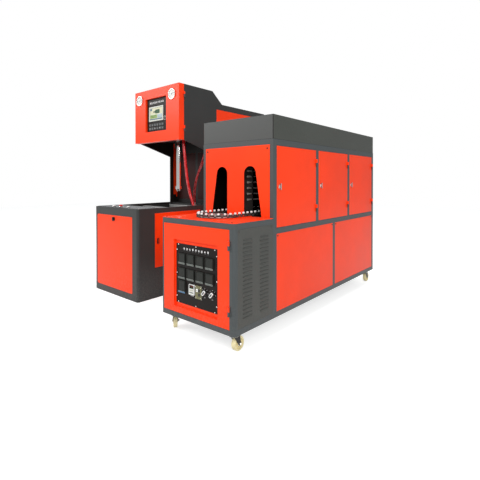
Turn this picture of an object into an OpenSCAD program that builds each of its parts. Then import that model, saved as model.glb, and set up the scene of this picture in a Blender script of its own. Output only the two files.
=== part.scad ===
// Semi-automatic stretch blow moulding machine for large bottles, made of two stations that stand side by side.
// The blowing station has a clamp well in its base cabinet and a C-frame that carries the blow head above it.
// The preheater is an infrared oven on casters. A chain carries the preforms out over its table and back in.
// Millimetres. Z is up, Y runs away from the operator and X runs to the operator's right.
// The origin is on the floor, under the middle of the blowing station's cabinet.

/* [Preheater] */
// Width of the preheater
heater_w = 720; // [640:10:900]
// Length of the preheater, front to back
heater_l = 2375; // [2340:5:2500]
// Length of the loading table in front of the oven
table_len = 430; // [400:5:470]
// Height of the table top above the floor
table_z = 865; // [845:5:885]
// Height of the underside of the base frame
base_z = 135; // [135:5:150]
// Height of the seam between the oven and its hood
seam_z = 1443; // [1400:5:1500]
// Height of the hood itself
hood_h = 178; // [120:2:240]
// Width of the posts and rails between the panels
post_w = 44; // [38:1:50]
// Depth of the posts and rails into the cabinet
post_d = 40; // [36:1:50]
// Height of the lower edge of the oven doors
door_sill_z = 791; // [780:1:800]
// Thickness of the sheet metal
sheet_t = 2; // [1.5:0.5:3]
// Depth of the folded edge of a panel or a door
fold_d = 20; // [16:1:22]
// Seam left round each panel
seam = 0.8; // [0.5:0.1:0.9]

/* [Front door and control panel] */
// Width of the visible post left of the front door
door_left_post = 14; // [12:1:20]
// Width of the window in the front door
window_w = 447; // [430:1:460]
// Height of the window in the front door
window_h = 492; // [480:1:500]
// Depth of the recess behind the window
recess_d = 18; // [14:1:24]
// Width of the black control panel
panel_w = 420; // [410:1:425]
// Height of the black control panel
panel_h = 434; // [425:1:440]
// Width of one voltage regulator
reg_w = 72; // [60:1:80]
// Height of one voltage regulator
reg_h = 78; // [70:1:84]
// Distance between neighbouring regulators
reg_pitch = 94; // [88:1:96]

/* [Louvres] */
// Number of louvres in a column
louvre_n = 20; // [12:1:21]
// Distance between louvres
louvre_pitch = 27; // [25:0.5:28]
// Length of one louvre
louvre_l = 90; // [70:1:110]
// How far a louvre stands out of its panel
louvre_out = 7; // [5:0.5:9]

/* [Oven front] */
// Distance from the middle of the oven to each arch's inner edge
arch_in = 87; // [80:1:95]
// Width of an arch at its round top
arch_w = 116; // [110:1:120]
// Height of the middle of the arch's round top
arch_z = 1190; // [1120:5:1250]
// How far the outer edge of an arch leans out towards the table
arch_lean = 54; // [30:1:60]

/* [Chain] */
// Number of teeth on a sprocket
teeth = 20; // [20:4:20]
// Pitch radius of the sprockets
pitch_r = 150; // [148:0.5:152]
// Distance of the front sprocket from the table's front edge
loop_front = 230; // [215:1:240]
// Radius of a chain bush
bush_r = 8; // [7:0.5:9]
// Radius of a chain pin
chain_pin_r = 5; // [4:0.5:5.5]
// Half width of a link plate
link_r = 11; // [10.5:0.5:12]
// Thickness of a link plate
plate_t = 2; // [1.5:0.5:3]
// Height of the rails that carry the chain
rail_h = 4; // [3:0.5:6]
// Height of a preform seat above its link
seat_h = 10; // [9:1:14]
// Radius of a preform seat
seat_r = 14; // [12:0.5:15]
// Radius of the sprocket shafts
shaft_r = 15; // [12:1:20]

/* [Lamps] */
// Number of lamps on each side of the rack
lamp_n = 8; // [6:1:8]
// Distance between lamps, up the rack
lamp_pitch = 46; // [40:1:48]
// Radius of a lamp tube
lamp_r = 6; // [5:0.5:7]

/* [Casters] */
// Radius of a caster wheel
wheel_r = 50; // [46:1:52]
// Width of a caster wheel
wheel_w = 30; // [24:1:32]
// Distance of the axle behind the swivel axis
trail = 36; // [30:1:40]
// Distance of the swivel axis from the side of the base
caster_side = 65; // [60:1:80]
// Distance of the swivel axis from the end of the base
caster_end = 75; // [70:1:90]

/* [Blowing station] */
// Width of the blowing station
blower_w = 770; // [760:5:800]
// Length of the blowing station, front to back
blower_l = 1960; // [1900:10:2100]
// Gap between the two stations
station_gap = 665; // [625:5:800]
// How far the preheater stands in front of the blowing station
front_step = 229; // [150:1:300]
// Radius of the cabinet's upright front corners
corner_r = 25; // [15:1:35]
// Thickness of the cabinet's walls
wall_t = 4; // [3:0.5:5]
// Length of the console over the front of the cabinet
console_l = 260; // [250:1:270]
// Distance from the cabinet's front to the column
column_y = 1000; // [985:5:1020]
// Height of the sill under the side door
side_sill_z = 293; // [270:1:320]

/* [Head] */
// Distance from the cabinet's front to the head's front
head_y = 495; // [480:1:510]
// Depth of the head's front cover
cover_d = 70; // [60:1:80]
// Height of the head's top above the floor
head_top = 2142; // [2130:1:2160]
// Height of the head's front
head_h = 582; // [572:2:592]
// How far the column's top lies below the head's
arm_drop = 130; // [112:2:152]
// Thickness of the frame's side plates
plate_side = 12; // [10:1:16]
// Size of the square window for the touch screen
screen_window = 367; // [360:1:375]
// Radius of a pressure gauge
gauge_r = 56; // [50:1:60]

/* [Clamp and blow axis] */
// Radius of the chrome blow column
column_r = 32; // [30:1:36]
// Distance from the cabinet's front to the blow axis
blow_y = 825; // [815:1:835]
// Height of the blow nozzle's tip when it is up
nozzle_z = 1010; // [1000:5:1040]
// Radius of the stretch rod
stretch_r = 8; // [6:0.5:10]
// Radius of the tie bars
tie_r = 25; // [20:1:28]
// Width of a platen
platen_w = 560; // [540:5:580]
// Height of a platen
platen_h = 435; // [420:5:440]
// Thickness of a platen
platen_t = 45; // [38:1:50]
// Height of the clamp bed's top
bed_z = 410; // [400:1:415]
// Sideways distance between the mould bolts
mould_hole_dx = 224; // [180:2:260]
// Upright distance between the mould bolts
mould_hole_dz = 174; // [120:2:180]
// Radius of the holes for the mould bolts
mould_hole_r = 7; // [5:0.5:8]
// Depth of the holes for the mould bolts
mould_hole_deep = 25; // [16:1:32]

/* [Hidden] */
$fn = 48;

orange = [1, 0.3, 0.16];
grey = [0.36, 0.37, 0.35];
dark = [0.2, 0.2, 0.2];
black = [0.07, 0.07, 0.07];
chrome = [0.85, 0.85, 0.84];
steel = [0.62, 0.63, 0.64];
cream = [0.93, 0.88, 0.74];
red = [0.8, 0.08, 0.06];
white = [0.95, 0.95, 0.93];

fit = 0.05;        // running clearance of a pin in its bore
air = 0.3;         // clearance between pieces that move past each other
eps = 0.01;        // overlap that makes two shapes of one piece join

// Heights of the head's lower edge and of the column's top
head_z = head_top - head_h;
arm_top = head_top - arm_drop;

// Places of the two stations
heater_x = blower_w / 2 + station_gap;
heater_y = -blower_l / 2 - front_step;
module at_heater() { translate([heater_x, heater_y, 0]) children(); }
module at_blower() { translate([-blower_w / 2, -blower_l / 2, 0]) children(); }

// The table's sheet, and the frame under it
table_t = 4;
frame_top = table_z - table_t;

// Upright positions along the oven
oven_l = heater_l - table_len;
door_n = 3;
door_w = (oven_l - (door_n + 1) * post_w) / door_n;
function door_y(i) = table_len + post_w + i * (door_w + post_w);
door_top_z = seam_z - 48;
low_w = (oven_l - 3 * post_w) / 2;
function low_y(i) = table_len + post_w + i * (low_w + post_w);
low_top_z = door_sill_z - post_w;
rail_top = base_z + post_d;

// Shapes with round corners, kept as true arcs
module round_square(w, l, r) {
    translate([r, 0]) square([w - 2 * r, l]);
    translate([0, r]) square([w, l - 2 * r]);
    for (x = [r, w - r], y = [r, l - r]) translate([x, y]) circle(r);
}
module stadium(l, r) {
    square([l, 2 * r], center = true);
    for (s = [-1, 1]) translate([s * l / 2, 0]) circle(r);
}

// A wall's own axes: u runs to the right as seen from outside, y runs into the machine and z is up
module right_wall(w) { translate([w, 0, 0]) rotate([0, 0, 90]) children(); }
module left_wall(l) { translate([0, l, 0]) rotate([0, 0, -90]) children(); }
module back_wall(w, l) { translate([w, l, 0]) rotate([0, 0, 180]) children(); }
module outward(u, z) { translate([u, 0, z]) rotate([90, 0, 0]) children(); }

// Folded sheet tray that fills an opening of w by h, with its face flush and a seam all round
module tray(u, z, w, h, d = fold_d) {
    translate([u + seam, 0, z + seam]) difference() {
        cube([w - 2 * seam, d, h - 2 * seam]);
        translate([sheet_t, sheet_t, sheet_t])
            cube([w - 2 * seam - 2 * sheet_t, d, h - 2 * seam - 2 * sheet_t]);
    }
}
// Bar or flat of a welded frame. Each is a solid of its own, a hair away from the next
weld = 0.05;
module bar(a, b) { translate(a + weld / 2 * [1, 1, 1]) cube(b - a - weld * [1, 1, 1]); }
// Tabs behind the corners of an opening, which the tray's folded edge bears on
// Each upper tab is a pair of lugs with a slot between them, which the panel's screw goes through
tab = 30;
tab_t = 3;
screw_in = 15;
screw_slot = 6.4;
module corner_tabs(u, z, w, h) {
    for (x = [u, u + w - tab]) {
        bar([x, fold_d, z], [x + tab, fold_d + tab_t, z + tab]);
        bar([x, fold_d, z + h - tab], [x + tab, fold_d + tab_t, z + h - screw_in - screw_slot / 2]);
        bar([x, fold_d, z + h - screw_in + screw_slot / 2], [x + tab, fold_d + tab_t, z + h]);
    }
}
module top_screws(u, z, w, h) {
    for (x = [u + screw_in, u + w - screw_in]) outward(x, z + h - screw_in) {
        cylinder(h = 3.5, r1 = 6, r2 = 4.5);
        translate([0, 0, -fold_d - tab_t - 4]) cylinder(h = fold_d + tab_t + 4 + eps, r = 3);
    }
}
module screw_holes(u, z, w, h) {
    for (x = [u + screw_in, u + w - screw_in]) outward(x, z + h - screw_in)
        translate([0, 0, -fold_d]) cylinder(h = 2 * fold_d, r = screw_slot / 2);
}

// Barrel hinge: a bored upper half on the door and a lower half with the pin on the frame
hinge_r = 7;
hinge_out = 8;
hinge_pin_r = 3.5;
hinge_half = 30;
leaf = 14;
module hinge_upper(u, z) {
    translate([u, -hinge_out, z + air]) difference() {
        union() {
            cylinder(h = hinge_half, r = hinge_r);
            translate([-leaf - 1, hinge_out - 5, 0]) cube([leaf, 5 + eps, hinge_half]);
        }
        translate([0, 0, -1]) cylinder(h = hinge_half + 2, r = hinge_pin_r + fit);
    }
}
module hinge_lower(u, z) {
    translate([u, -hinge_out, z]) {
        translate([0, 0, -hinge_half]) cylinder(h = hinge_half, r = hinge_r);
        translate([1, hinge_out - 5, -hinge_half]) cube([leaf, 5, hinge_half]);
        translate([0, 0, -eps]) cylinder(h = hinge_half + air, r = hinge_pin_r);
    }
}

// Quarter-turn lock: rosette and grip outside, spindle through the door, cam behind it
lock_in = 36;
lock_spindle = 6;
cam_gap = 7;
module lock_hole(u, z) { outward(u, z) translate([0, 0, -30]) cylinder(h = 60, r = lock_spindle + fit); }
module quarter_lock(u, z) {
    outward(u, z) {
        translate([0, 0, air]) cylinder(h = 4, r = 15);
        translate([-5, -24, 4]) cube([10, 48, 12]);
        translate([0, 0, -fold_d - cam_gap]) cylinder(h = fold_d + cam_gap + 4, r = lock_spindle);
        translate([-lock_spindle, 0, -fold_d - cam_gap - 3]) cube([2 * lock_spindle, 30, 3 + eps]);
        translate([0, 0, -fold_d - cam_gap - 3]) cylinder(h = 3, r = lock_spindle);
    }
}
catch_w = 14;
module lock_catch(u, z) { bar([u, fold_d + 2, z - 16], [u + catch_w, fold_d + 2 + tab_t, z + 16]); }

// Front door of the preheater
fd_u = door_left_post;
fd_w = heater_w - door_left_post - post_d;
fd_z = base_z + 37;
fd_h = frame_top - 39 - fd_z;
window_u = fd_u + (fd_w - window_w) / 2 + 4;
window_z = fd_z + 43;
panel_u = window_u + (window_w - panel_w) / 2;
panel_z = window_z + (window_h - panel_h) / 2;
panel_t = 3;
panel_y = recess_d - panel_t;

// Box between two corners
module member(a, b) { translate(a) cube(b - a); }

// Posts, rails and panel tabs of one long side of the welded frame
module frame_side() {
    post = table_len + post_w;
    bar([table_len - 6, 0, base_z], [post, post_d, frame_top]);
    bar([table_len, 0, frame_top], [post, post_d, seam_z]);
    bar([low_y(0) + low_w, 0, rail_top], [low_y(1), post_d, low_top_z]);
    for (i = [1:door_n - 1]) bar([door_y(i) - post_w, 0, door_sill_z], [door_y(i), post_d, door_top_z]);
    bar([heater_l - post_w, 0, base_z], [heater_l, post_d, seam_z]);
    for (z = [[base_z, rail_top], [frame_top - post_d, frame_top]])
        bar([louvre_u, 0, z[0]], [table_len - 6, post_d, z[1]]);
    for (z = [[base_z, rail_top], [low_top_z, door_sill_z], [door_top_z, seam_z]])
        bar([post, 0, z[0]], [heater_l - post_w, post_d, z[1]]);
    for (i = [0, 1]) corner_tabs(low_y(i), rail_top, low_w, low_top_z - rail_top);
    corner_tabs(louvre_u, rail_top, louvre_w, louvre_h);
}
louvre_u = 36;
louvre_w = table_len - 6 - louvre_u;
louvre_h = frame_top - post_d - rail_top;
back_u = post_d;
back_w = heater_w - 2 * post_d;

pan_t = 3;
shaft_gap = shaft_r + 5;
caster_plate_t = 5;
kingpin_r = 8;
kingpin_h = 18;
// The front left caster has swung round, and it sits a little nearer to its side
caster_shift = 8;
function caster_turn(i, j) = i == 1 && j == 0 ? 52 : 0;
function caster_x(i, j) = i == 0 ? heater_w - caster_side : caster_side - (j == 0 ? caster_shift : 0);
function caster_y(j) = j == 0 ? caster_end : heater_l - caster_end;
module at_caster(i, j) { translate([caster_x(i, j), caster_y(j), 0]) rotate([0, 0, caster_turn(i, j)]) children(); }

// The welded frame with its posts, rails, pan, oven bed, panel tabs and caster plates
module heater_frame() color(grey) at_heater() {
    right_wall(heater_w) {
        frame_side();
        for (i = [0:door_n - 1]) lock_catch(door_y(i), lock_z);
    }
    left_wall(heater_l) mirror_u(heater_l) {
        frame_side();
        for (i = [0:door_n - 1]) corner_tabs(door_y(i), door_sill_z, door_w, door_top_z - door_sill_z);
    }
    front_posts();
    // Front rails, cross rails under and over the oven front, and rear rails
    for (z = [[base_z, fd_z], [fd_z + fd_h, frame_top]])
        bar([door_left_post, 0, z[0]], [heater_w - post_d, rebate, z[1]]);
    for (z = [[frame_top - post_d, frame_top], [door_top_z, seam_z]])
        bar([post_d, table_len, z[0]], [heater_w - post_d, table_len + post_w, z[1]]);
    for (z = [[base_z, rail_top], [low_top_z, door_sill_z], [door_top_z, seam_z]])
        bar([post_d, heater_l - post_d, z[0]], [heater_w - post_d, heater_l, z[1]]);
    back_wall(heater_w, heater_l) {
        corner_tabs(back_u, rail_top, back_w, low_top_z - rail_top);
        corner_tabs(back_u, door_sill_z, back_w, door_top_z - door_sill_z);
    }
    // Lugs that take the screws of the oven front
    for (x = [post_d, heater_w - post_d - tab],
        z = [[-tab, -screw_slot / 2], [screw_slot / 2, door_top_z - plate_screw_z]])
        bar([x, table_len, plate_screw_z + z[0]], [x + tab, table_len + tab_t, plate_screw_z + z[1]]);
    // Pan that closes the underside
    bar([post_d, rebate, base_z], [heater_w - post_d, heater_l - post_d, base_z + pan_t]);
    // Bed that carries the chain through the oven, in four plates round the drive shaft
    for (y = [[table_len + 2, loop_rear - shaft_gap], [loop_rear + shaft_gap, heater_l - post_d]])
        bar([post_d, y[0], frame_top], [heater_w - post_d, y[1], table_z]);
    for (x = [[post_d, loop_x - shaft_gap], [loop_x + shaft_gap, heater_w - post_d]])
        bar([x[0], loop_rear - shaft_gap, frame_top], [x[1], loop_rear + shaft_gap, table_z]);
    // Caster plates with their kingpins
    for (i = [0, 1], j = [0, 1]) translate([caster_x(i, j), caster_y(j), base_z - caster_plate_t]) {
        bar([-50, -42, 0], [50, 42, caster_plate_t]);
        translate([0, 0, -kingpin_h]) cylinder(h = kingpin_h - weld / 2, r = kingpin_r);
    }
}
edge_r = 25;
// The left side's own axes run from the back, so its pieces are mirrored to run from the front
module mirror_u(l) { translate([l, 0, 0]) mirror([1, 0, 0]) children(); }
// Front posts: the left one is rebated for the door, and the right one has a round outer edge
rebate = fold_d + 6;
module front_posts() {
    bar([0, 0, base_z], [door_left_post, louvre_u, frame_top]);
    bar([door_left_post, rebate, base_z], [post_d, louvre_u, frame_top]);
    translate([heater_w - post_d + weld, 0, base_z + weld]) linear_extrude(frame_top - base_z - 2 * weld)
        difference() {
            square([post_d - weld, louvre_u - weld]);
            translate([post_d - weld - edge_r, 0]) difference() {
                translate([0, -1]) square(edge_r + 1);
                translate([0, edge_r]) circle(edge_r);
            }
        }
}

// Table top: a plate with a hole for the front shaft and two corner screws
module table_top() color(orange) at_heater() difference() {
    translate([0, 0, frame_top]) linear_extrude(table_t) difference() {
        square([heater_w, table_len]);
        translate([heater_w - edge_r, 0]) difference() {
            translate([0, -1]) square(edge_r + 1);
            translate([0, edge_r]) circle(edge_r);
        }
        translate([loop_x, loop_front]) circle(shaft_r + 4);
    }
    for (x = [table_screw_in, heater_w - table_screw_in]) translate([x, table_screw_y, frame_top - 1])
        cylinder(h = table_t + 2, r = 3.2);
}
table_screw_in = 31;
table_screw_y = 14;

// Louvre panel: pressed louvres, each a quarter-round scoop that is open below
module louvre(h) {
    // The scoop's section, carried along its length
    translate([-louvre_l / 2, 0, 0]) rotate([90, 0, 90]) linear_extrude(louvre_l) difference() {
        intersection() {
            circle(louvre_out);
            translate([-louvre_out - 1, 0]) square([louvre_out + 1.5, louvre_out + 1]);
        }
        intersection() {
            circle(louvre_out - 1.5);
            translate([-louvre_out - 1, -1]) square([louvre_out + 2, louvre_out + 1]);
        }
    }
    for (s = [-1, 1]) translate([s * (louvre_l / 2 - 0.75) - 0.75, 0, 0]) rotate([90, 0, 90])
        linear_extrude(1.5) intersection() {
            circle(louvre_out);
            translate([-louvre_out - 1, 0]) square([louvre_out + 1.5, louvre_out + 1]);
        }
}
louvre_cols = [0.26, 0.74];
louvre_z0 = 232;
module louvre_panel() {
    difference() {
        tray(louvre_u, rail_top, louvre_w, louvre_h);
        for (c = louvre_cols, i = [0:louvre_n - 1])
            translate([louvre_u + c * louvre_w - louvre_l / 2 + 1.5, -1, louvre_z0 + i * louvre_pitch - 0.5])
                cube([louvre_l - 3, sheet_t + 2, louvre_out - 1.5]);
        screw_holes(louvre_u, rail_top, louvre_w, louvre_h);
    }
    for (c = louvre_cols, i = [0:louvre_n - 1])
        translate([louvre_u + c * louvre_w, 0.2, louvre_z0 + i * louvre_pitch]) louvre();
}
module louvre_panels() color(grey) at_heater() {
    right_wall(heater_w) louvre_panel();
    left_wall(heater_l) mirror_u(heater_l) louvre_panel();
}

// Fixed orange panels: lower right and left, upper left and back
module fixed_panel(u, z, w, h) {
    difference() {
        tray(u, z, w, h);
        screw_holes(u, z, w, h);
    }
}
module side_panels() color(orange) at_heater() {
    right_wall(heater_w)
        for (i = [0, 1]) fixed_panel(low_y(i), rail_top, low_w, low_top_z - rail_top);
    left_wall(heater_l) mirror_u(heater_l) {
        for (i = [0, 1]) fixed_panel(low_y(i), rail_top, low_w, low_top_z - rail_top);
        for (i = [0:door_n - 1]) fixed_panel(door_y(i), door_sill_z, door_w, door_top_z - door_sill_z);
    }
    back_wall(heater_w, heater_l) {
        fixed_panel(back_u, rail_top, back_w, low_top_z - rail_top);
        fixed_panel(back_u, door_sill_z, back_w, door_top_z - door_sill_z);
    }
}

// Oven front: a plate with two tall arches that let the preforms out and in
plate_in = 30;
plate_screw_z = door_top_z - 20;
plate_screw_x = [post_d + 12, heater_w - post_d - 12];
module arch() {
    r = arch_w / 2;
    x = arch_in + r;
    translate([x, arch_z]) circle(r);
    polygon([[arch_in, table_z - 5], [arch_in, arch_z], [arch_in + arch_w, arch_z],
        [arch_in + arch_w + arch_lean, table_z - 5]]);
}
module oven_front_plate() color(orange) at_heater() translate([0, table_len, 0]) rotate([90, 0, 0])
    linear_extrude(sheet_t) difference() {
        translate([plate_in, table_z + 1]) square([heater_w - 2 * plate_in, door_top_z + 5 - table_z]);
        translate([loop_x, 0]) {
            arch();
            mirror([1, 0]) arch();
        }
        for (x = plate_screw_x) translate([x, plate_screw_z]) circle(3.2);
    }

// Hood: a sheet box with round upright edges and an inward flange that sits on the frame
hood_r = 8;
hood_flange = 30;
module hood() color(grey) at_heater() translate([0, table_len, seam_z]) difference() {
    linear_extrude(hood_h) round_square(heater_w, oven_l, hood_r);
    translate([sheet_t, sheet_t, sheet_t])
        linear_extrude(hood_h - 2 * sheet_t) round_square(heater_w - 2 * sheet_t, oven_l - 2 * sheet_t, hood_r - 1);
    translate([hood_flange, hood_flange, -1]) cube([heater_w - 2 * hood_flange, oven_l - 2 * hood_flange, 10]);
}

// Front door with its recessed window frame
hinge_gap = 2;
fd_axis_u = fd_u + fd_w - 1;
fd_hinges = [293, 718];
lock_z = (door_sill_z + door_top_z) / 2;
module hinged_tray(u, z, w, h, d = fold_d) {
    translate([u + 1.5, 0, z + 1.5]) difference() {
        cube([w - 1.5 - hinge_gap, d, h - 3]);
        translate([sheet_t, sheet_t, sheet_t])
            cube([w - 1.5 - hinge_gap - 2 * sheet_t, d, h - 3 - 2 * sheet_t]);
    }
}
module heater_door() color(orange) at_heater() {
    difference() {
        union() {
            hinged_tray(fd_u, fd_z, fd_w, fd_h);
            member([window_u - sheet_t, 1, window_z - sheet_t],
                [window_u + window_w + sheet_t, recess_d + sheet_t, window_z + window_h + sheet_t]);
        }
        member([window_u, -1, window_z], [window_u + window_w, recess_d, window_z + window_h]);
        member([panel_u + 14, 0, panel_z + 14], [panel_u + panel_w - 14, 60, panel_z + panel_h - 14]);
        for (p = panel_screw_places) translate([p[0], 0, p[1]]) rotate([-90, 0, 0]) cylinder(h = 60, r = 2.1);
    }
    for (z = fd_hinges) hinge_upper(fd_axis_u, z);
}
// Places of the twelve screws of the control panel
panel_screw_places = [
    for (x = [0.06, 0.5, 0.94], z = [7, panel_h - 7]) [panel_u + x * panel_w, panel_z + z],
    for (x = [7, panel_w - 7], z = [0.11, 0.5, 0.89]) [panel_u + x, panel_z + z * panel_h]
];

// Control panel with cut-outs for the instruments
reg_u0 = panel_u + 28;
reg_z0 = panel_z + 79;
ninth_h = 90;
ninth_gap = 12;
row_gap = 28;
row_z = reg_z0 + ninth_h + ninth_gap;
ctrl_u = panel_u + 144;
ctrl_z = panel_z + 84;
ctrl_w = 54;
ctrl_h = 72;
socket_u = ctrl_u + ctrl_w + 8;
socket_z = panel_z + 65;
socket_w = 62;
socket_h = 92;
switch_u = [panel_u + 298, panel_u + 372];
switch_z = panel_z + 121;
switch_r = 18;
switch_shaft = 4;
module control_panel() color(black) at_heater() difference() {
    member([panel_u, panel_y, panel_z], [panel_u + panel_w, recess_d, panel_z + panel_h]);
    for (u = switch_u) translate([u, panel_y - 1, switch_z]) rotate([-90, 0, 0])
        cylinder(h = panel_t + 2, r = switch_shaft + fit);
    for (p = panel_screw_places) translate([p[0], panel_y - 1, p[1]]) rotate([-90, 0, 0])
        cylinder(h = panel_t + 2, r = 2.1);
}
// One regulator: a dark case with a stepped front and a terminal strip along its lower edge
module regulator(h) {
    strip = 14;
    difference() {
        translate([0, -12, 0]) cube([reg_w, 12, h]);
        translate([4, -13, strip]) cube([reg_w - 8, 4, h - strip - 4]);
        translate([-1, -13, -1]) cube([reg_w + 2, 7, strip - 1]);
    }
    for (i = [0:4]) translate([reg_w * (i + 0.5) / 5 - 4, -9, 3]) cube([8, 4, 7]);
}
module voltage_regulators() color(dark) at_heater() translate([0, panel_y, 0]) {
    for (i = [0:3], j = [0, 1]) translate([reg_u0 + i * reg_pitch, 0, row_z + j * (reg_h + row_gap)])
        regulator(reg_h);
    translate([reg_u0, 0, reg_z0]) regulator(ninth_h);
}
// Temperature controller, the socket plate beside it and the control panel's screws
module panel_instruments() color(white) at_heater() translate([0, panel_y, 0]) {
    difference() {
        translate([ctrl_u, -8, ctrl_z]) cube([ctrl_w, 8, ctrl_h]);
        translate([ctrl_u + 5, -9, ctrl_z + ctrl_h * 0.6]) cube([ctrl_w - 10, 4, ctrl_h * 0.33]);
    }
    for (i = [0:3]) translate([ctrl_u + ctrl_w * (i + 1) / 5, -8 + eps, ctrl_z + 16]) rotate([90, 0, 0])
        cylinder(h = 2, r = 4);
    difference() {
        translate([socket_u, -4, socket_z]) cube([socket_w, 4, socket_h]);
        for (z = [0.3, 0.68]) translate([socket_u + socket_w * 0.3, -5, socket_z + z * socket_h - 9])
            cube([20, 3, 18]);
    }
    for (p = panel_screw_places) translate([p[0], 0, p[1]]) rotate([90, 0, 0]) small_screw(panel_t + 5);
}
module rotary_switch(u) {
    translate([u, panel_y - air, switch_z]) rotate([90, 0, 0]) {
        cylinder(h = 6, r = switch_r + 4);
        cylinder(h = 12, r = switch_r);
        translate([-4, -switch_r, 11]) cube([8, 2 * switch_r, 9]);
        translate([0, 0, -panel_t - 6]) cylinder(h = panel_t + 7, r = switch_shaft);
    }
}
module rotary_switch_left() color(black) at_heater() rotary_switch(switch_u[0]);
module rotary_switch_right() color(black) at_heater() rotary_switch(switch_u[1]);

// Oven doors
door_hinge_z = [903, 1288];
module oven_door(i) {
    color(orange) at_heater() right_wall(heater_w) {
        difference() {
            hinged_tray(door_y(i), door_sill_z, door_w, door_top_z - door_sill_z);
            lock_hole(door_y(i) + lock_in, lock_z);
        }
        for (z = door_hinge_z) hinge_upper(door_y(i) + door_w - 1, z);
    }
}
module oven_door_front() oven_door(0);
module oven_door_middle() oven_door(1);
module oven_door_rear() oven_door(2);
module oven_lock(i) color(chrome) at_heater() right_wall(heater_w) quarter_lock(door_y(i) + lock_in, lock_z);
module lock_front() oven_lock(0);
module lock_middle() oven_lock(1);
module lock_rear() oven_lock(2);

// Lower hinge halves of all the doors
module hinge_halves() color(orange) {
    at_heater() {
        for (z = fd_hinges) hinge_lower(fd_axis_u, z);
        right_wall(heater_w) for (i = [0:door_n - 1], z = door_hinge_z) hinge_lower(door_y(i) + door_w - 1, z);
    }
    at_blower() right_wall(blower_w) {
        for (z = side_hinge_z) hinge_lower(side_y + side_w - 1, z);
        for (z = head_hinge_z) hinge_lower(head_y + cover_d - 1, z);
    }
}

// Chain loop: pitch points run up one side, round the rear sprocket, back and round the front one
pitch = 2 * pitch_r * sin(180 / teeth);
loop_x = heater_w / 2;
rear_room = 265;
run_links = floor((heater_l - loop_front - rear_room) / pitch);
loop_rear = loop_front + run_links * pitch;
half_turn = teeth / 2;
links = 2 * (run_links + half_turn);
function pitch_point(k) =
    k < run_links ? [pitch_r, k * pitch] :
    k < run_links + half_turn ? let (a = (k - run_links) * 360 / teeth)
        [pitch_r * cos(a), run_links * pitch + pitch_r * sin(a)] :
    k < 2 * run_links + half_turn ? [-pitch_r, run_links * pitch - (k - run_links - half_turn) * pitch] :
    let (a = 180 + (k - 2 * run_links - half_turn) * 360 / teeth) [pitch_r * cos(a), pitch_r * sin(a)];
chain_z = table_z + rail_h + air;
inner_z = chain_z + plate_t + air;
bush_h = 6;
top_inner_z = inner_z + plate_t + bush_h;
top_outer_z = top_inner_z + plate_t + air;
module link_plate(z) { translate([0, 0, z]) linear_extrude(plate_t) stadium(pitch, link_r); }
seat_top = top_outer_z + plate_t + seat_h;
seat_tip = 4;
// A seat's neck passes between the outer plates, and its collar stands over them
collar_z = top_outer_z + plate_t + air;
module seat(z) {
    translate([0, 0, z]) cylinder(h = collar_z + eps - z, r = link_r - 2);
    translate([0, 0, collar_z]) cylinder(h = seat_top - seat_tip - collar_z, r = seat_r);
    translate([0, 0, seat_top - seat_tip - eps]) cylinder(h = seat_tip, r1 = seat_r - 1, r2 = seat_r - 4);
}
module outer_link() {
    link_plate(chain_z);
    link_plate(top_outer_z);
    for (s = [-1, 1]) translate([s * pitch / 2, 0, chain_z])
        cylinder(h = top_outer_z + plate_t - chain_z, r = chain_pin_r);
    seat(top_outer_z + plate_t - eps);
}
module inner_link() {
    difference() {
        union() {
            link_plate(inner_z);
            link_plate(top_inner_z);
            for (s = [-1, 1]) translate([s * pitch / 2, 0, inner_z]) cylinder(h = 2 * plate_t + bush_h, r = bush_r);
        }
        for (s = [-1, 1]) translate([s * pitch / 2, 0, inner_z - 1])
            cylinder(h = 2 * plate_t + bush_h + 2, r = chain_pin_r + fit);
    }
    seat(top_inner_z + plate_t - eps);
}
module preform_chain() color(steel) at_heater() translate([loop_x, loop_front, 0])
    for (k = [0:links - 1]) {
        a = pitch_point(k);
        b = pitch_point((k + 1) % links);
        translate([(a[0] + b[0]) / 2, (a[1] + b[1]) / 2, 0])
            rotate([0, 0, atan2(b[1] - a[1], b[0] - a[0])])
                if (k % 2 == 0) outer_link(); else inner_link();
    }

// Rails under the chain, and the flanged bearings of the two shafts
rail_w = 24;
bearing_r = 45;
bearing_h = 6;
module loop_outline(r) {
    translate([0, run_links * pitch / 2]) rotate(90) stadium(run_links * pitch, r);
}
module chain_track() color(steel) at_heater() translate([loop_x, loop_front, 0]) {
    translate([0, 0, table_z]) linear_extrude(rail_h) difference() {
        loop_outline(pitch_r + rail_w / 2);
        loop_outline(pitch_r - rail_w / 2);
    }
    for (y = [0, run_links * pitch]) translate([0, y, table_z]) difference() {
        cylinder(h = bearing_h, r = bearing_r);
        translate([0, 0, -1]) cylinder(h = bearing_h + 2, r = shaft_r + fit);
    }
}

// Sprocket with a hub, lightening holes and its shaft
sprocket_z = inner_z + plate_t + air;
sprocket_t = bush_h - 2 * air;
tooth_r = pitch_r + 2;
stub_l = 60;
module sprocket(y, shaft_down) {
    translate([loop_x, y, 0]) {
        translate([0, 0, sprocket_z]) linear_extrude(sprocket_t) difference() {
            circle(tooth_r, $fn = 96);
            for (i = [0:teeth - 1]) rotate(i * 360 / teeth) translate([pitch_r, 0]) {
                circle(bush_r + air);
                translate([0, -bush_r - air]) square([20, 2 * (bush_r + air)]);
            }
            for (i = [0:5]) rotate(i * 60) translate([pitch_r * 0.57, 0]) circle(30);
        }
        translate([0, 0, table_z + bearing_h + air])
            cylinder(h = top_outer_z + 4 - table_z - bearing_h, r = shaft_r + 12);
        translate([0, 0, table_z - shaft_down]) cylinder(h = top_outer_z + 8 - table_z + shaft_down, r = shaft_r);
    }
}
module front_sprocket() color(steel) at_heater() sprocket(loop_front, stub_l);
module drive_sprocket() color(steel) at_heater() sprocket(loop_rear, gearbox);

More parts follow.
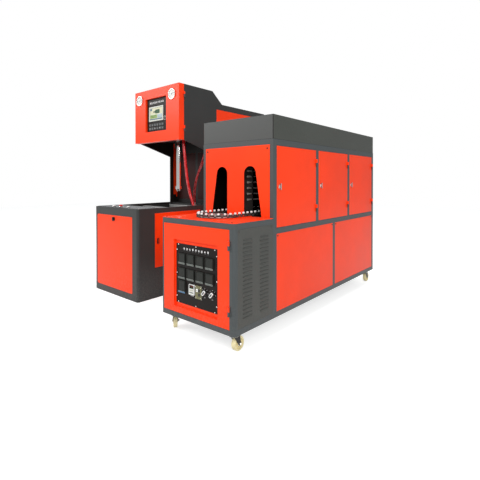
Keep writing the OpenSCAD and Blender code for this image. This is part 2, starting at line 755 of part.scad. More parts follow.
// Worm gearbox with its motor, hung under the bed on the drive shaft
gearbox = 110;
module gearmotor() color(dark) at_heater() translate([loop_x, loop_rear, frame_top - gearbox]) {
    difference() {
        union() {
            translate([-gearbox / 2, -gearbox / 2, 0]) cube(gearbox);
            cylinder(h = gearbox, r = gearbox / 2 + 6);
        }
        translate([0, 0, -1]) cylinder(h = gearbox + 2, r = shaft_r + fit);
    }
    translate([0, -gearbox / 2 + eps, gearbox / 2]) rotate([90, 0, 0]) {
        cylinder(h = 12, r = 52);
        cylinder(h = 190, r = 44);
        for (i = [0:11]) rotate(i * 30) translate([42, -1.5, 14]) cube([8, 3, 150]);
        translate([0, 0, 170]) cylinder(h = 34, r = 50);
    }
}

// Lamp rack: centre reflector with end combs, and an outer reflector beside each lane
lamp_z0 = 985;
lamp_x = 44;
rack_y0 = loop_front + 340;
rack_y1 = loop_rear - 230;
lamp_over = 30;
module lamp_rack() color(steel) at_heater() {
    translate([loop_x, 0, 0]) difference() {
        union() {
            member([-1.5, rack_y0, lamp_z0 - 40], [1.5, rack_y1, lamp_z0 + lamp_n * lamp_pitch]);
            for (y = [rack_y0, rack_y1 - 6])
                member([-62, y, table_z], [62, y + 6, lamp_z0 + lamp_n * lamp_pitch + 10]);
            for (y = [rack_y0, rack_y1 - 40]) member([-62, y, table_z], [62, y + 40, table_z + 4]);
        }
        for (s = [-1, 1], i = [0:lamp_n - 1]) translate([s * lamp_x, rack_y0 - 1, lamp_z0 + i * lamp_pitch])
            rotate([-90, 0, 0]) cylinder(h = rack_y1 - rack_y0 + 2, r = lamp_r + 0.1);
    }
    for (s = [-1, 1]) translate([loop_x + s * (pitch_r + 75), 0, 0]) {
        member([-1.5, rack_y0, table_z], [1.5, rack_y1, lamp_z0 + lamp_n * lamp_pitch]);
        for (z = [table_z, lamp_z0 + lamp_n * lamp_pitch - 3])
            member([min(0, s * 28), rack_y0, z], [max(0, s * 28), rack_y1, z + 3]);
    }
}
module heating_lamps() color([1, 0.96, 0.9, 0.6]) at_heater() translate([loop_x, 0, 0])
    for (s = [-1, 1], i = [0:lamp_n - 1]) translate([s * lamp_x, rack_y0 - lamp_over, lamp_z0 + i * lamp_pitch])
        rotate([-90, 0, 0]) {
            cylinder(h = rack_y1 - rack_y0 + 2 * lamp_over, r = lamp_r);
            for (y = [-14, rack_y1 - rack_y0 + 2 * lamp_over - eps]) translate([0, 0, y])
                cylinder(h = 14 + eps, r = lamp_r + 2);
        }

// Casters
fork_top = base_z - caster_plate_t - air;
fork_head = 16;
axle_r = 6;
leg_t = 4;
leg_x = wheel_w / 2 + 2;
module caster_fork(i, j) color(black) at_heater() at_caster(i, j) {
    difference() {
        union() {
            translate([0, 0, fork_top - fork_head]) cylinder(h = fork_head, r = 31);
            translate([0, 0, fork_top - 6]) cylinder(h = 6, r = 38);
        }
        translate([0, 0, fork_top - fork_head - 1]) cylinder(h = fork_head + 2, r = kingpin_r + fit);
    }
    difference() {
        union() {
            translate([-leg_x - leg_t, -22, fork_top - fork_head - 5])
                cube([2 * (leg_x + leg_t), 56, 5 + eps]);
            for (x = [-leg_x - leg_t, leg_x]) translate([x, 0, 0]) rotate([90, 0, 90]) linear_extrude(leg_t) {
                polygon([[-22, fork_top - fork_head], [34, fork_top - fork_head], [trail + 13, wheel_r],
                    [trail - 13, wheel_r - 4]]);
                translate([trail, wheel_r]) circle(13);
            }
        }
        cylinder(h = fork_top, r = kingpin_r + 6);
    }
    translate([-leg_x - leg_t - 4, trail, wheel_r]) rotate([0, 90, 0]) cylinder(h = 2 * (leg_x + leg_t + 4), r = axle_r);
}
module caster_wheel(i, j) color(cream) at_heater() at_caster(i, j) translate([0, trail, wheel_r])
    rotate([0, 90, 0]) rotate_extrude($fn = 64) {
        translate([axle_r + fit, -wheel_w / 2 - 1]) square([10, wheel_w + 2]);
        translate([axle_r + fit, -5]) square([wheel_r - axle_r - 14, 10]);
        translate([wheel_r - 14, -wheel_w / 2 + 3]) square([14, wheel_w - 6]);
        translate([wheel_r - 14, -wheel_w / 2]) square([11, wheel_w]);
        for (s = [-1, 1]) translate([wheel_r - 3, s * (wheel_w / 2 - 3)]) circle(3);
    }
module caster_fork_front_right() caster_fork(0, 0);
module caster_fork_front_left() caster_fork(1, 0);
module caster_fork_rear_right() caster_fork(0, 1);
module caster_fork_rear_left() caster_fork(1, 1);
module caster_wheel_front_right() caster_wheel(0, 0);
module caster_wheel_front_left() caster_wheel(1, 0);
module caster_wheel_rear_right() caster_wheel(0, 1);
module caster_wheel_rear_left() caster_wheel(1, 1);

// Base cabinet of the blowing station: walls, floor, deck under the column, rim round the clamp well
cab_h = table_z;
rim_w = 40;
front_u = 46;
front_w = blower_w - 136;
front_z = 64;
front_h = 726;
side_y = 193;
side_w = 600;
side_h = 527;
side_hinge_z = [side_sill_z + 90, side_sill_z + side_h - 90];
module base_cabinet() color(dark) at_blower() difference() {
    union() {
        difference() {
            linear_extrude(cab_h) cabinet_outline(0);
            translate([0, 0, wall_t + 2]) linear_extrude(cab_h - 2 * wall_t - 2) cabinet_outline(wall_t);
            // The well's mouth and the mouth of the front compartment under the console
            translate([rim_w, console_l, cab_h - wall_t - 1])
                cube([blower_w - 2 * rim_w, column_y - console_l, wall_t + 2]);
            translate([rim_w, rim_w, cab_h - wall_t - 1])
                cube([blower_w - 2 * rim_w, console_l - rim_w - 20, wall_t + 2]);
        }
        // Walls before and behind the well
        for (y = [console_l - 12, column_y - wall_t + 8])
            member([wall_t - eps, y, wall_t + 1], [blower_w - wall_t + eps, y + wall_t, cab_h - wall_t + eps]);
        panel_stops();
    }
    translate([front_u, -1, front_z]) cube([front_w, wall_t + 2, front_h]);
    // The side opening is deep enough for the door's folded edges to pass the walls of the well
    right_wall(blower_w) translate([side_y, -1, side_sill_z]) cube([side_w, fold_d + 10, side_h]);
    translate([blower_w / 2, console_l - 20, clamp_axis_z]) rotate([-90, 0, 0])
        cylinder(h = 30, r = cylinder_r + 2);
    for (x = console_screw_x, y = console_screw_y) translate([x, y, cab_h - 10]) cylinder(h = 20, r = 2.6);
}
module cabinet_outline(t) {
    difference() {
        translate([t, t]) square([blower_w - 2 * t, blower_l - 2 * t]);
        for (s = [0, 1]) translate([s * blower_w, 0]) mirror([s, 0]) difference() {
            translate([-1, -1]) square(corner_r + 1);
            translate([corner_r, corner_r]) circle(corner_r - t);
        }
    }
}
// Angles behind the front opening that the lift-off panel hooks on and bears against
module panel_stops() {
    for (z = [front_z - 20, front_z + front_h - 12]) member([front_u - 6, fold_d, z], [front_u + front_w + 6, fold_d + 3, z + 32]);
    for (z = [front_z - 20, front_z + front_h + 17]) member([front_u - 6, wall_t - eps, z], [front_u + front_w + 6, fold_d + 1, z + 3]);
}
// Lift-off front panel with rounded corners
panel_r = 18;
latch_z = front_z + front_h - 36;
latch_u = front_u + front_w / 2;
latch_in = fold_d + 5;
module front_panel() color(orange) at_blower() difference() {
    translate([front_u + seam, fold_d, front_z + seam]) rotate([90, 0, 0]) linear_extrude(fold_d)
        round_square(front_w - 2 * seam, front_h - 2 * seam, panel_r);
    translate([front_u + seam + sheet_t, fold_d + 1, front_z + seam + sheet_t]) rotate([90, 0, 0])
        linear_extrude(fold_d + 1 - sheet_t)
            round_square(front_w - 2 * seam - 2 * sheet_t, front_h - 2 * seam - 2 * sheet_t, panel_r - sheet_t);
    outward(latch_u, latch_z) translate([0, 0, -fold_d - 10]) cylinder(h = fold_d + 30, r = lock_spindle + fit);
}
module front_latch() color(black) at_blower() outward(latch_u, latch_z) {
    translate([0, 0, air]) cylinder(h = 3.5, r = 20);
    translate([0, 0, 3]) cylinder(h = 8, r = 13);
    translate([-5, -19, 10]) cube([10, 38, 9]);
    translate([0, 0, -latch_in - 3]) cylinder(h = latch_in + 7, r = lock_spindle);
    translate([-lock_spindle, 0, -latch_in - 3]) cube([2 * lock_spindle, 34, 3]);
}

// Side door with a pull slot
slot_w = 22;
slot_h = 52;
slot_in = 26;
module base_side_door() color(orange) at_blower() right_wall(blower_w) {
    difference() {
        union() {
            hinged_tray(side_y, side_sill_z, side_w, side_h);
            translate([side_y + slot_in, 1, side_sill_z + side_h * 0.43]) cube([slot_w + 4, 15, slot_h + 4]);
        }
        translate([side_y + slot_in + 2, -1, side_sill_z + side_h * 0.43 + 2]) cube([slot_w, 15, slot_h]);
    }
    for (z = side_hinge_z) hinge_upper(side_y + side_w - 1, z);
}

// Console plate with the bezels of its three buttons
console_in = 18;
console_t = 4;
button_gap = 130;
button_x = [for (i = [-1, 0, 1]) blower_w / 2 - 10 + i * button_gap];
button_y = 72;
bezel_h = 6;
button_r = 11;
console_screw_x = [console_in + 10, blower_w - console_in - 10];
console_screw_y = [console_in + 10, console_l - 14];
module console() color(grey) at_blower() difference() {
    union() {
        translate([console_in, console_in, cab_h]) linear_extrude(console_t)
            round_square(blower_w - 2 * console_in, console_l - console_in - 4, 10);
        for (x = button_x) translate([x, button_y, cab_h + console_t - eps]) cylinder(h = bezel_h, r = button_r + 5);
    }
    for (x = button_x) translate([x, button_y, cab_h - 1]) cylinder(h = 30, r = button_r + air);
    for (x = console_screw_x, y = console_screw_y) translate([x, y, cab_h - 10]) cylinder(h = 20, r = 2.6);
}
button_top = cab_h + console_t + bezel_h + 6;
module push_button(x) {
    translate([x, button_y, cab_h - 4]) cylinder(h = button_top - 2 - cab_h + 4, r = button_r);
    translate([x, button_y, button_top - 2 - eps]) cylinder(h = 2, r1 = button_r, r2 = button_r - 2);
}
module start_button_left() color(white) at_blower() push_button(button_x[0]);
module start_button_right() color(white) at_blower() push_button(button_x[2]);
module stop_button() color(red) at_blower() translate([button_x[1], button_y, 0]) {
    translate([0, 0, cab_h - 4]) cylinder(h = button_top + 3 - cab_h + 4, r = button_r);
    translate([0, 0, button_top + 2]) rotate_extrude($fn = 64)
        intersection() {
            translate([0, -14]) circle(26);
            square([20, 14]);
        }
}

// Side plates of the C-frame
head_back = head_y + cover_d;
throat_z = head_z - 130;
// The cover's bends: the head's rear edge, a short bevel and the long slope down to the column's top
slope = [[column_y - 15, head_top], [column_y + 10, head_top - 22], [column_y + 142, arm_top]];
side_window = [column_y + 50, 930, blower_l - 60, arm_top - 67];
module frame_profile() {
    polygon([[column_y, cab_h], [column_y, throat_z], [head_back, head_z], [head_back, head_top],
        slope[0], slope[1], slope[2], [blower_l, arm_top], [blower_l, cab_h]]);
}
module side_plate() {
    rotate([90, 0, 90]) linear_extrude(plate_side) difference() {
        frame_profile();
        translate([side_window[0], side_window[1]])
            square([side_window[2] - side_window[0], side_window[3] - side_window[1]]);
    }
    // Ledges behind the opening that carry the inset panel
    for (z = [side_window[1], side_window[3] - tab]) for (y = [side_window[0] - 10, side_window[2] + 10 - 40])
        translate([fold_d, y, z]) cube([tab_t, 40, tab]);
    for (z = [side_window[1], side_window[3] - tab]) for (y = [side_window[0] - 10, side_window[2]])
        translate([plate_side - eps, y, z]) cube([fold_d + tab_t - plate_side, 10, tab]);
}
module side_plate_left() color(dark) at_blower() side_plate();
module side_plate_right() color(dark) at_blower() translate([blower_w, 0, 0]) mirror([1, 0, 0]) side_plate();

// Orange panels set into the side plates and the column's front
wall_y = column_y + 100;
front_window = [[52, blower_w / 2 - 20], [blower_w / 2 + 20, blower_w - 52]];
front_window_z = [cab_h + 40, throat_z + 40];
module column_panels() color(orange) at_blower() {
    w = side_window[2] - side_window[0];
    h = side_window[3] - side_window[1];
    right_wall(blower_w) tray(side_window[0], side_window[1], w, h);
    left_wall(blower_l) mirror_u(blower_l) tray(side_window[0], side_window[1], w, h);
    translate([0, wall_y, 0]) for (u = front_window)
        tray(u[0], front_window_z[0], u[1] - u[0], front_window_z[1] - front_window_z[0]);
}

// Bent cover over the head and the column, the flats of the column's front and the mounting plate in the head
cover_t = 4;
cyl_plate_t = 20;
cyl_plate_z = head_z + 40;
// Flats and plates behind the side panels stay clear of the panels' folded edges
inner = fold_d + 4;
module column_covers() color(dark) at_blower() {
    x = [plate_side, blower_w - plate_side];
    y = side_window[0] - 1;
    translate([x[0] + weld, 0, 0]) rotate([90, 0, 90]) linear_extrude(x[1] - x[0] - 2 * weld) polygon([
        [head_back, head_top], slope[0], slope[1], slope[2], [blower_l, arm_top], [blower_l, cab_h + weld],
        [blower_l - cover_t, cab_h + weld], [blower_l - cover_t, arm_top - cover_t], slope[2] - [2, cover_t],
        slope[1] - [2, cover_t + 1], slope[0] - [2, cover_t], [head_back, head_top - cover_t]]);
    translate([0, wall_y, 0]) {
        bar([x[0], 0, cab_h], [x[1], cover_t, front_window_z[0]]);
        for (u = [[inner, front_window[0][0]], [front_window[0][1], front_window[1][0]],
            [front_window[1][1], blower_w - inner]])
            bar([u[0], 0, front_window_z[0]], [u[1], cover_t, front_window_z[1]]);
        bar([inner, 0, front_window_z[1]], [blower_w - inner, cover_t, cyl_plate_z]);
        for (u = front_window) corner_ledges(u);
    }
    // Mounting plate of the seal cylinder, with a narrower part that ties it to the column's front
    difference() {
        bar([x[0], head_back + 60, cyl_plate_z], [x[1], y, cyl_plate_z + cyl_plate_t]);
        translate([blower_w / 2, blow_y, cyl_plate_z - 1]) cylinder(h = cyl_plate_t + 2, r = column_r + 2);
    }
    bar([inner, y, cyl_plate_z], [blower_w - inner, wall_y + cover_t, cyl_plate_z + cyl_plate_t]);
    // Bracket with a hole beside the blow column, for the position switch
    translate([blower_w / 2 - 78, blow_y - 2, cyl_plate_z - 90]) difference() {
        cube([30, 4, 90 - weld / 2]);
        translate([15, -1, 20]) rotate([-90, 0, 0]) cylinder(h = 6, r = 8);
    }
}
// Each ledge is a strip beside the opening and a tab behind the panel's folded edge
ledge_w = 8;
module corner_ledges(u) {
    for (s = [[u[0] - ledge_w, u[0] - ledge_w], [u[1], u[1] - tab + ledge_w]],
        z = [front_window_z[0], front_window_z[1] - tab]) {
        bar([s[0], cover_t, z], [s[0] + ledge_w, fold_d, z + tab]);
        bar([s[1], fold_d, z], [s[1] + tab, fold_d + tab_t, z + tab]);
    }
}

// Head door: a deep cover with a recessed window, hung on the right side plate
sw_u = (blower_w - screen_window) / 2 - 6;
sw_z = head_z + 115;
screen_d = 30;
head_hinge_z = [head_z + 119, head_top - 110];
gauge_x = [94, blower_w - 109];
gauge_z = head_top - 101;
gauge_neck = 49;
gauge_deep = 34;
gauge_port = 52;
module head_door() color(orange) at_blower() {
    difference() {
        union() {
            difference() {
                translate([0, head_y, head_z]) cube([blower_w, cover_d - 2, head_h]);
                translate([sheet_t, head_y + sheet_t, head_z + sheet_t])
                    cube([blower_w - 2 * sheet_t, cover_d, head_h - 2 * sheet_t]);
            }
            translate([0, head_y, 0]) member([sw_u - sheet_t, 1, sw_z - sheet_t],
                [sw_u + screen_window + sheet_t, screen_d + sheet_t, sw_z + screen_window + sheet_t]);
        }
        translate([0, head_y, 0]) {
            member([sw_u, -1, sw_z], [sw_u + screen_window, screen_d, sw_z + screen_window]);
            member([sw_u + 20, 0, sw_z + 20], [sw_u + screen_window - 20, 60, sw_z + screen_window - 20]);
            for (x = gauge_x) translate([x, 0, gauge_z]) rotate([-90, 0, 0])
                translate([0, 0, -1]) cylinder(h = 10, r = gauge_neck + air);
        }
    }
    right_wall(blower_w) for (z = head_hinge_z) hinge_upper(head_back - 1, z);
}
// Screen panel: backing plate, touch screen with a bezel, and a keypad
screen_t = 4;
screen_y = head_y + screen_d - screen_t;
ts_w = 250;
ts_h = 160;
ts_u = sw_u + 42;
ts_z = sw_z + 116;
key_u = sw_u + 38;
key_z = sw_z + 22;
key_size = [34, 28];
key_step = [44, 40];
module screen_panel() color(black) at_blower() {
    difference() {
        union() {
            member([sw_u, screen_y, sw_z], [sw_u + screen_window, screen_y + screen_t, sw_z + screen_window]);
            translate([ts_u, screen_y + eps, ts_z]) rotate([90, 0, 0]) linear_extrude(7) round_square(ts_w, ts_h, 6);
        }
        member([ts_u + 14, screen_y - 9, ts_z + 14], [ts_u + ts_w - 14, screen_y - 3, ts_z + ts_h - 14]);
    }
    for (i = [0:5], j = [0, 1]) translate([key_u + i * key_step[0], screen_y - 3, key_z + j * key_step[1]])
        cube([key_size[0], 3 + eps, key_size[1]]);
}
// Pressure gauges: flange, case with a dial recess, and the body behind the cover
module pressure_gauges() color(chrome) at_blower() for (x = gauge_x) translate([x, head_y, gauge_z]) rotate([90, 0, 0])
    rotate_extrude($fn = 72) difference() {
        union() {
            square([gauge_r, 10]);
            translate([0, -gauge_deep]) square([gauge_neck, gauge_deep + eps]);
            translate([0, -gauge_port]) square([8, gauge_port - gauge_deep + 2]);
        }
        translate([-1, 5]) square([gauge_r - 4, 6]);
    }

// Cylinders: the seal cylinder round the blow column, the stretch cylinder beside it and the clamp cylinder
seal_r = 66;
seal_h = 120;
clamp_axis_z = bed_z + platen_h / 2;
cylinder_r = 85;
support_y = 300;
cylinder_y = 60;
rod_r = 28;
stretch_dx = 118;
stretch_tube_r = 22;
stretch_l = head_top - cyl_plate_z - 60;
module air_cylinders() color(steel) at_blower() {
    translate([blower_w / 2, blow_y, cyl_plate_z + cyl_plate_t]) difference() {
        union() {
            cylinder(h = seal_h, r = seal_r - 6);
            for (z = [0, seal_h - 20]) translate([-seal_r, -seal_r, z]) cube([2 * seal_r, 2 * seal_r, 20]);
            for (x = [-1, 1], y = [-1, 1]) translate([x * (seal_r - 9), y * (seal_r - 9), 0]) cylinder(h = seal_h, r = 5);
        }
        translate([0, 0, -1]) cylinder(h = seal_h + 2, r = column_r + fit);
    }
    translate([blower_w / 2 + stretch_dx, blow_y, cyl_plate_z + cyl_plate_t]) {
        for (z = [0, stretch_l]) translate([-28, -28, z]) cube([56, 56, 22]);
        cylinder(h = stretch_l, r = stretch_tube_r);
    }
    translate([blower_w / 2, cylinder_y, clamp_axis_z]) rotate([-90, 0, 0]) difference() {
        union() {
            cylinder(h = support_y - cylinder_y, r = cylinder_r - 7);
            for (y = [0, support_y - cylinder_y - 26]) translate([0, 0, y]) cylinder(h = 26, r = cylinder_r);
            for (a = [45:90:315]) rotate(a) translate([cylinder_r - 8, 0, 0])
                cylinder(h = support_y - cylinder_y, r = 6);
        }
        translate([0, 0, 30]) cylinder(h = support_y, r = rod_r + fit);
    }
}

column_top = cyl_plate_z + cyl_plate_t + seal_h + 20;
// Chrome blow column with its nozzle, and the stretch rod that runs through it
module blow_column() color(chrome) at_blower() translate([blower_w / 2, blow_y, nozzle_z]) difference() {
    union() {
        translate([0, 0, 60 - eps]) cylinder(h = column_top - nozzle_z - 60, r = column_r);
        translate([0, 0, 26]) cylinder(h = 34, r = column_r + 10);
        cylinder(h = 26 + eps, r1 = 21, r2 = 32);
    }
    translate([0, 0, -1]) cylinder(h = column_top - nozzle_z + 2, r = stretch_r + fit);
}
rod_tip = 8;
head_block = 30;
block_w = 60;
block_back = 22;
rod_drop = 45;
module stretch_rod() color(steel) at_blower() translate([blower_w / 2, blow_y, 0]) {
    top = head_top - rod_drop;
    translate([0, 0, nozzle_z + 20]) cylinder(h = top - nozzle_z - 20, r = stretch_r);
    translate([0, 0, nozzle_z + 20 - rod_tip + eps]) cylinder(h = rod_tip, r1 = stretch_r - 4, r2 = stretch_r);
    translate([0, 0, top - head_block]) difference() {
        translate([-block_back, -block_w / 2, 0])
            cube([stretch_dx + block_back + block_w / 2, block_w, head_block]);
        translate([stretch_dx, 0, -1]) cylinder(h = head_block + 2, r = stretch_tube_r + fit);
    }
}

// Clamp bed with the fixed platen at its rear and the cylinder's support at its front
platen_x = (blower_w - platen_w) / 2;
fixed_y = 905;
moving_y = 520;
tie_x = [platen_x + 62, platen_x + platen_w - 62];
tie_z = [bed_z + 72, bed_z + platen_h - 72];
module tie_bores(y, t) {
    for (x = tie_x, z = tie_z) translate([x, y - 1, z]) rotate([-90, 0, 0]) cylinder(h = t + 2, r = tie_r + fit);
}
// Four blind holes in each platen's face, which a mould half bolts to
module mould_holes(y) {
    for (x = [-1, 1], z = [-1, 1])
        translate([blower_w / 2 + x * mould_hole_dx / 2, y, clamp_axis_z + z * mould_hole_dz / 2])
            rotate([-90, 0, 0]) cylinder(h = mould_hole_deep + 1, r = mould_hole_r);
}
bed_plate_t = 30;
module clamp_bed() color(steel) at_blower() {
    bar([platen_x - 30, console_l + 10, bed_z - bed_plate_t], [platen_x + platen_w + 30, column_y - 20, bed_z]);
    for (x = [platen_x, platen_x + platen_w - 30])
        bar([x, console_l + 10, wall_t + 2], [x + 30, column_y - 20, bed_z - bed_plate_t]);
    difference() {
        for (y = [[support_y, 35], [fixed_y, platen_t]])
            bar([platen_x, y[0], bed_z], [platen_x + platen_w, y[0] + y[1], bed_z + platen_h]);
        tie_bores(support_y, 35);
        tie_bores(fixed_y, platen_t);
        mould_holes(fixed_y - 1);
        translate([blower_w / 2, support_y - 1, clamp_axis_z]) rotate([-90, 0, 0])
            cylinder(h = 40, r = rod_r + fit);
    }
}
module tie_bars() color(chrome) at_blower() for (x = tie_x, z = tie_z) translate([x, support_y - 22, z]) rotate([-90, 0, 0]) {
    cylinder(h = fixed_y + platen_t + 22 - support_y + 18, r = tie_r);
    cylinder(h = 22, r = tie_r + 11, $fn = 6);
}
module moving_platen() color(steel) at_blower() {
    difference() {
        member([platen_x, moving_y, bed_z + 2], [platen_x + platen_w, moving_y + platen_t, bed_z + platen_h]);
        tie_bores(moving_y, platen_t);
        mould_holes(moving_y + platen_t - mould_hole_deep);
    }
    translate([blower_w / 2, cylinder_y + 40, clamp_axis_z]) rotate([-90, 0, 0])
        cylinder(h = moving_y - cylinder_y - 40 + eps, r = rod_r);
}

// Hoses: each runs through points chosen by hand, as a smooth tube of one radius
hose_r = 15;
tube_r = 6;
// A route's heights are stretched with the height of the piece that its upper end comes out of
function stretched(p, foot, reach) = [for (q = p) [q[0], q[1], foot + (q[2] - foot) * reach]];
hose_foot = 800;
tube_foot = bed_z + platen_h + 35;
main_route = stretched([[606, 700, 1580], [608, 700, 1530], [615, 703, 1455], [621, 708, 1375], [624, 716, 1290],
    [628, 728, 1180], [640, 740, 1070], [660, 750, 975], [684, 759, 900], [697, 764, 845], [700, 765, 800]],
    hose_foot, (cyl_plate_z - 20 - hose_foot) / 780);
tube_reach = (throat_z + 48 - tube_foot) / 598;
upper_route = stretched([[738, 950, 1478], [724, 946, 1476], [706, 938, 1464], [694, 930, 1444], [688, 920, 1412],
    [682, 908, 1360], [664, 899, 1304], [638, 896, 1250], [608, 897, 1195], [580, 899, 1125], [556, 902, 1045],
    [538, 908, 965], [528, 917, 905], [526, 921, 880]], tube_foot, tube_reach);
lower_route = stretched([[738, 990, 1462], [722, 986, 1459], [706, 976, 1447], [697, 962, 1424], [694, 944, 1392],
    [688, 925, 1350], [676, 908, 1300], [652, 899, 1245], [622, 897, 1190], [596, 899, 1110], [576, 902, 1030],
    [562, 908, 958], [556, 917, 905], [555, 921, 880]], tube_foot, tube_reach);
function unit(v) = v / norm(v);
function tangent(p, i) = unit(p[min(i + 1, len(p) - 1)] - p[max(i - 1, 0)]);
// A smooth curve through the points: each stretch is a cubic that leaves and enters along the tangents
function smooth(p, n) = [for (i = [0:len(p) - 2], k = [0:n - 1]) let (
        t = k / n, d = norm(p[i + 1] - p[i]), a = tangent(p, i) * d, b = tangent(p, i + 1) * d)
    p[i] * (2 * t * t * t - 3 * t * t + 1) + a * (t * t * t - 2 * t * t + t)
        + p[i + 1] * (3 * t * t - 2 * t * t * t) + b * (t * t * t - t * t), p[len(p) - 1]];
module tube_along(route, r, n, sides, start) {
    p = smooth(route, n);
    m = len(p);
    ring = [for (i = [0:m - 1]) let (
            w = i == 0 ? start : i == m - 1 ? [0, 0, -1] : tangent(p, i),
            u = unit(cross([0, 1, 0], w)), v = cross(w, u))
        for (k = [0:sides - 1]) p[i] + r * (cos(360 * k / sides) * u + sin(360 * k / sides) * v)];
    faces = [
        for (i = [0:m - 2], k = [0:sides - 1]) let (
            a = i * sides + k, b = i * sides + (k + 1) % sides) [a, b, b + sides, a + sides],
        [for (k = [sides - 1:-1:0]) k],
        [for (k = [0:sides - 1]) (m - 1) * sides + k]];
    polyhedron(ring, faces);
}
module main_hose() color(red) at_blower() tube_along(main_route, hose_r, 3, 12, [0, 0, -1]);
module air_tube_upper() color(red) at_blower() tube_along(upper_route, tube_r, 5, 8, [-1, 0, 0]);
module air_tube_lower() color(red) at_blower() tube_along(lower_route, tube_r, 5, 8, [-1, 0, 0]);

// Fittings at both ends of each hose, with the block that carries the main hose on a bracket
// clear of the side door's swing
module fitting(p, r, h, up) {
    translate([p[0], p[1], up ? p[2] : p[2] - h]) {
        cylinder(h = h, r = r);
        translate([0, 0, up ? h * 0.4 : 0]) cylinder(h = h * 0.6, r = r + 3, $fn = 6);
    }
}
manifold = [60, 56, 60];
bracket_w = 20;
bracket_y = side_y + side_w + 17;
module hose_fittings() color(steel) at_blower() {
    a = main_route[0];
    b = main_route[len(main_route) - 1];
    fitting(a, hose_r + 3, cyl_plate_z - a[2], true);
    fitting(b, hose_r + 3, 30, false);
    translate([b[0] - manifold[0] / 2, b[1] - manifold[1] / 2, b[2] - 30 - manifold[2]]) cube(manifold);
    bracket_z = [b[2] - 25 - manifold[2], b[2] - 35];
    bracket_end = bracket_y + bracket_w;
    bracket_x = b[0] + bracket_w / 2;
    bar([bracket_x - bracket_w, b[1] + (manifold[1] + weld) / 2, bracket_z[0]],
        [bracket_x, bracket_end, bracket_z[1]]);
    bar([bracket_x, bracket_y, bracket_z[0]], [blower_w - wall_t, bracket_end, bracket_z[1]]);
    for (r = [upper_route, lower_route]) {
        c = r[0];
        d = r[len(r) - 1];
        translate(c) rotate([0, 90, 0]) {
            cylinder(h = blower_w - plate_side - c[0], r = tube_r + 3);
            cylinder(h = 10, r = tube_r + 6, $fn = 6);
        }
        fitting(d, tube_r + 3, d[2] - bed_z - platen_h, false);
    }
}

// Screws that hold the fixed panels, the control panel, the table, the oven front and the console
module small_screw(h) {
    cylinder(h = 2.5, r1 = 4, r2 = 3);
    translate([0, 0, -h]) cylinder(h = h + eps, r = 2);
}
module panel_screws() color(chrome) {
    at_heater() {
        right_wall(heater_w) {
            for (i = [0, 1]) top_screws(low_y(i), rail_top, low_w, low_top_z - rail_top);
            top_screws(louvre_u, rail_top, louvre_w, louvre_h);
        }
        left_wall(heater_l) mirror_u(heater_l) {
            for (i = [0, 1]) top_screws(low_y(i), rail_top, low_w, low_top_z - rail_top);
            for (i = [0:door_n - 1]) top_screws(door_y(i), door_sill_z, door_w, door_top_z - door_sill_z);
            top_screws(louvre_u, rail_top, louvre_w, louvre_h);
        }
        back_wall(heater_w, heater_l) {
            top_screws(back_u, rail_top, back_w, low_top_z - rail_top);
            top_screws(back_u, door_sill_z, back_w, door_top_z - door_sill_z);
        }
        for (x = [table_screw_in, heater_w - table_screw_in]) translate([x, table_screw_y, table_z]) {
            cylinder(h = 3, r1 = 6, r2 = 4.5);
            translate([0, 0, -table_t]) cylinder(h = table_t + eps, r = 3);
        }
        for (x = plate_screw_x) translate([x, table_len - sheet_t, plate_screw_z]) rotate([90, 0, 0]) {
            cylinder(h = 3.5, r1 = 6, r2 = 4.5);
            translate([0, 0, -20]) cylinder(h = 20 + eps, r = 3);
        }
    }
    at_blower() for (x = console_screw_x, y = console_screw_y) translate([x, y, cab_h + console_t]) small_screw(8);
}

heater_frame();
table_top();
louvre_panels();
side_panels();
oven_front_plate();
hood();
heater_door();
control_panel();
voltage_regulators();
panel_instruments();
rotary_switch_left();
rotary_switch_right();
oven_door_front();
oven_door_middle();
oven_door_rear();
lock_front();
lock_middle();
lock_rear();
hinge_halves();
chain_track();
preform_chain();
front_sprocket();
drive_sprocket();
gearmotor();
lamp_rack();
heating_lamps();
caster_fork_front_right();
caster_fork_front_left();
caster_fork_rear_right();
caster_fork_rear_left();
caster_wheel_front_right();
caster_wheel_front_left();
caster_wheel_rear_right();
caster_wheel_rear_left();
base_cabinet();
front_panel();
front_latch();
base_side_door();
console();
start_button_left();
start_button_right();
stop_button();
side_plate_left();
side_plate_right();
column_panels();
column_covers();
head_door();
screen_panel();
pressure_gauges();
air_cylinders();
blow_column();
stretch_rod();
clamp_bed();
tie_bars();
moving_platen();
main_hose();
air_tube_upper();
air_tube_lower();
hose_fittings();
panel_screws();
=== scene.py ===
import math
import bpy
import bmesh
import numpy as np
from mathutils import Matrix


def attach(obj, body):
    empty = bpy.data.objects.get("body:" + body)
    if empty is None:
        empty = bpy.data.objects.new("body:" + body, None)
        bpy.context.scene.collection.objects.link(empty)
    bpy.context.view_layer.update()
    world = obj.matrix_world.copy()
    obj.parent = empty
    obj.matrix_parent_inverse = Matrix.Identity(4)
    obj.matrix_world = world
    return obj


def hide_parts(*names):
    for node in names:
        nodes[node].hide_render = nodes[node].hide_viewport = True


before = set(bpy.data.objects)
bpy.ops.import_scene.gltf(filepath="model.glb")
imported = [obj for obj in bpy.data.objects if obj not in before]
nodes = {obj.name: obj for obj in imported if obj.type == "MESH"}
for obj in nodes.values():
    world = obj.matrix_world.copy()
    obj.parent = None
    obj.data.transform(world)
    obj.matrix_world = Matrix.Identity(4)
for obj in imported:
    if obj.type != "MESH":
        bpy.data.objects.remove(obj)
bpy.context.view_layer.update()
print("frame loaded:", len(nodes), "nodes")

# Pieces are measured in millimetres and brought to metres when their meshes are made; the camera, the lights
# and the materials are measured in metres
ovenAt = np.array([1050.0, -1209.0, 0.0])  # front left corner of the preheater on the floor
pressAt = np.array([-385.0, -980.0, 0.0])  # the same corner of the blowing station

